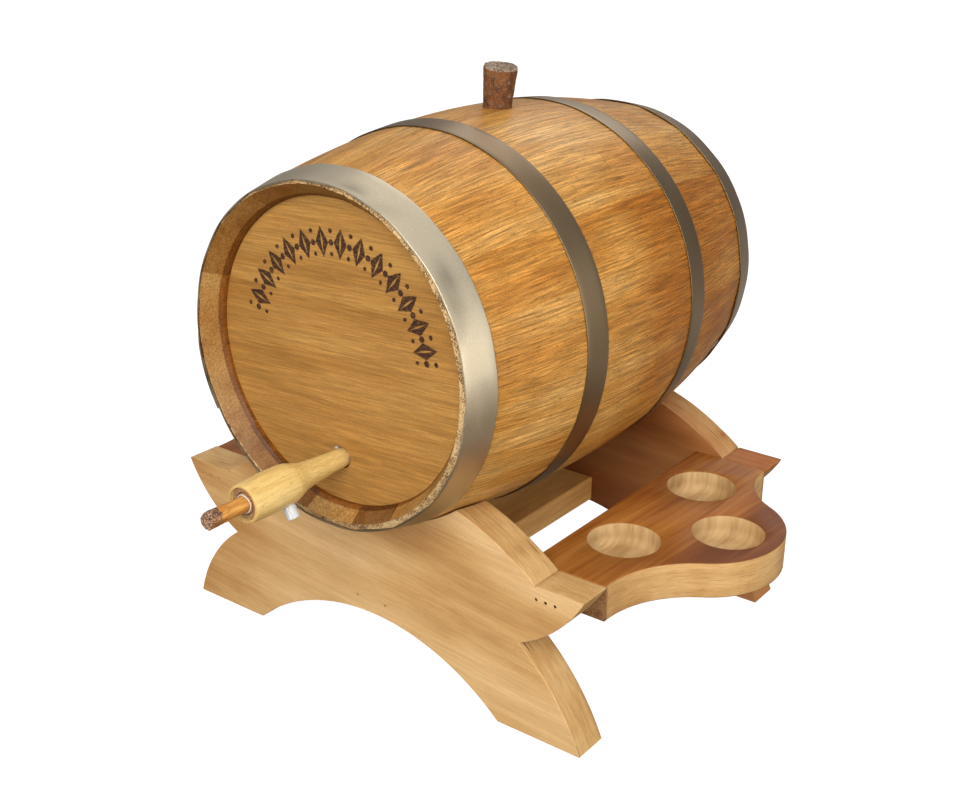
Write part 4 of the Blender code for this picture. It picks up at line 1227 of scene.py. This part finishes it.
def shelf_values(side, pockets, co):
    """Pockets are bare wood, the outline's edge is sawn along the layers, and the butted ends across them."""
    x, y, z = co.T
    level = z - LEDGE
    near = np.any([np.hypot(x - px, y - py) < 0.0199 for px, py in pockets], axis=0)
    deep = near & (level < -0.0003) & (level > -0.0125)
    outer = (level < -0.0003) & (level > -SHELF + 0.0003) & ~deep
    butt = np.abs(y) > INNER - 0.0004
    start = np.array([0.5, 0.3, 0.2]) * (1 if side > 0 else 3.7)
    return {
        "grain": np.stack([x - 0.06 * y, y, level], 1) + start,
        "bare": deep,
        "rim": (outer & butt) * 0.85,
        "edge": outer & ~butt,
        "run": np.stack([level + 0.010 * y, x, y], 1) + 0.2 * side,
        "tone": 0.62 - 0.45 * ramped(np.abs(x), 0.125, 0.05),
    }


def make_shelf(name, side, reach):
    eased = ((0.0, 0.0005), (0.0002, 0.00018), (0.0006, 0.0))
    stations = [*eased, *((SHELF * share, 0.0) for share in (0.25, 0.5, 0.75))]
    stations += [(SHELF - depth, ease) for depth, ease in eased[::-1]]
    rings = [[(x, y, LEDGE - depth) for x, y in shelf_ring(side, reach, ease)] for depth, ease in stations]
    places = ((0.1173, 0.0452), (0.1173, -0.0388), (0.1565, 0.0032))
    pockets = [(side * (x + reach), y) for x, y in places]
    tools = [pocket_cutter(*place) for place in pockets]
    tools += [nail_hole(x, z, end) for _, x, z in nails_of(f"{name}_shelf") for end in (-1, 1)]
    mesh = cut(to_mesh(*loft(rings)), *tools)
    dress(f"{name}_cup_shelf", "wood", mesh, SHELF_WOOD, partial(shelf_values, side, pockets))


def rail_values(co):
    return {"grain": co + 0.7, "tone": 0.5}


def make_rail():
    width, thick, top, corner = 0.018, 0.016, -0.1410, 0.0008
    foot = top - thick
    outline = [
        (-width + corner, top), (width - corner, top), (width, top - corner), (width, foot + corner),
        (width - corner, foot), (corner - width, foot), (-width, foot + corner), (-width, top - corner),
    ]
    stations = [(-INNER, 0.0005), (-INNER + 0.0005, 0.0)] + [(y, 0.0) for y in steps_between(-0.08, 0.08, 16)]
    stations += [(INNER - 0.0005, 0.0), (INNER, 0.0005)]
    rings = [[(x, y, z) for x, z in shrunk(outline, ease)] for y, ease in stations]
    holes = [nail_hole(x, z, end) for _, x, z in nails_of("rail") for end in (-1, 1)]
    dress("centre_rail", "wood", cut(to_mesh(*loft(rings)), *holes), RAIL_WOOD_PAINTED_PALE, rail_values)


make_staves()
make_heads()
make_hoops()
make_bung()
make_tap_body()
make_linings()
make_key()
make_tape()
make_boards()
make_shelf("right", 1, 0.0)
make_shelf("left", -1, LEFT_REACH)
make_rail()


# ---------------------------------------------------------------- floor, light and camera


def make_floor():
    """A wide sheet of white paper below the feet. It glows, so that the shadows on it stay pale."""
    n = new_material("floor_paper")
    n.colour, n.dull = (0.16, 0.16, 0.16), 0.9
    n.finish(Emission_Color=(1, 1, 1), Emission_Strength=1.0)
    size = 12.0
    mesh = to_mesh([(-size, -size, 0), (size, -size, 0), (size, size, 0), (-size, size, 0)], [(0, 1, 2, 3)])
    mesh.materials.append(n.owner)
    floor = bpy.data.objects.new("floor", mesh)
    floor.location = (0, 0, -0.0002)
    floor.visible_diffuse = floor.visible_glossy = False
    bpy.context.scene.collection.objects.link(floor)


def make_world():
    """A dim studio: dark below, with a pale band behind the floor's edge and overhead."""
    world = bpy.data.worlds.new("studio")
    bpy.context.scene.world = world
    n = Nodes(world)
    place = n.add("ShaderNodeTexCoord", {}, "Generated")
    height = n.add("ShaderNodeSeparateXYZ", {0: place}, "Z") * 0.5 + 0.5
    sky = n.ramp(
        height, (0.0, (0.10, 0.07, 0.045)), (0.19, (0.12, 0.085, 0.06)), (0.31, (0.52, 0.48, 0.43)),
        (0.50, (0.27, 0.26, 0.25)), (0.725, (0.32, 0.32, 0.32)), (0.95, (0.78, 0.78, 0.78)),
    )
    n.link(sky, n.tree.nodes["Background"].inputs["Color"])


def add_light(name, place, size, power, colour):
    lamp = bpy.data.lights.new(name, "AREA")
    lamp.shape = "RECTANGLE"
    lamp.size, lamp.size_y = size
    lamp.energy = power
    lamp.color = colour
    item = bpy.data.objects.new(name, lamp)
    item.location = place
    item.rotation_euler = (Vector((0, 0.03, 0.15)) - Vector(place)).to_track_quat("-Z", "Y").to_euler()
    bpy.context.scene.collection.objects.link(item)


def make_camera():
    azimuth, elevation, roll = (math.radians(angle) for angle in (36.5102, 22.027, 0.7695))
    distance = 0.80449
    target = CENTRE - (0.000632, 0, 0.066660)
    orbit = Matrix.Rotation(azimuth, 4, "Z") @ Matrix.Rotation(math.pi / 2 - elevation, 4, "X")
    data = bpy.data.cameras.new("camera")
    data.sensor_width = 36
    data.lens = 50.463
    data.clip_start, data.clip_end = 0.01, 20
    item = bpy.data.objects.new("camera", data)
    back = Matrix.Translation((0, 0, distance)) @ Matrix.Rotation(roll, 4, "Z")
    item.matrix_world = Matrix.Translation(target) @ orbit @ back
    bpy.context.scene.collection.objects.link(item)
    bpy.context.scene.camera = item


make_floor()
make_world()
add_light("key", (0.50, -1.00, 0.85), (0.8, 0.8), 13.0, (1.0, 0.985, 0.96))
add_light("low", (0.25, -1.35, 0.20), (1.4, 0.4), 5.0, (1.0, 0.98, 0.95))
add_light("side", (1.35, -0.35, 0.50), (0.9, 0.9), 3.6, (1.0, 0.98, 0.94))
add_light("under", (1.30, 0.10, 0.13), (0.9, 0.22), 1.2, (1.0, 0.97, 0.92))
add_light("panel", (1.65, 0.72, 0.57), (1.3, 0.9), 2.6, (1.0, 0.98, 0.95))
add_light("back_top", (-0.45, 1.40, 1.30), (1.1, 0.9), 4.5, (0.97, 0.98, 1.0))
make_camera()
bpy.context.scene.view_settings.view_transform = "Standard"

bpy.context.view_layer.update()
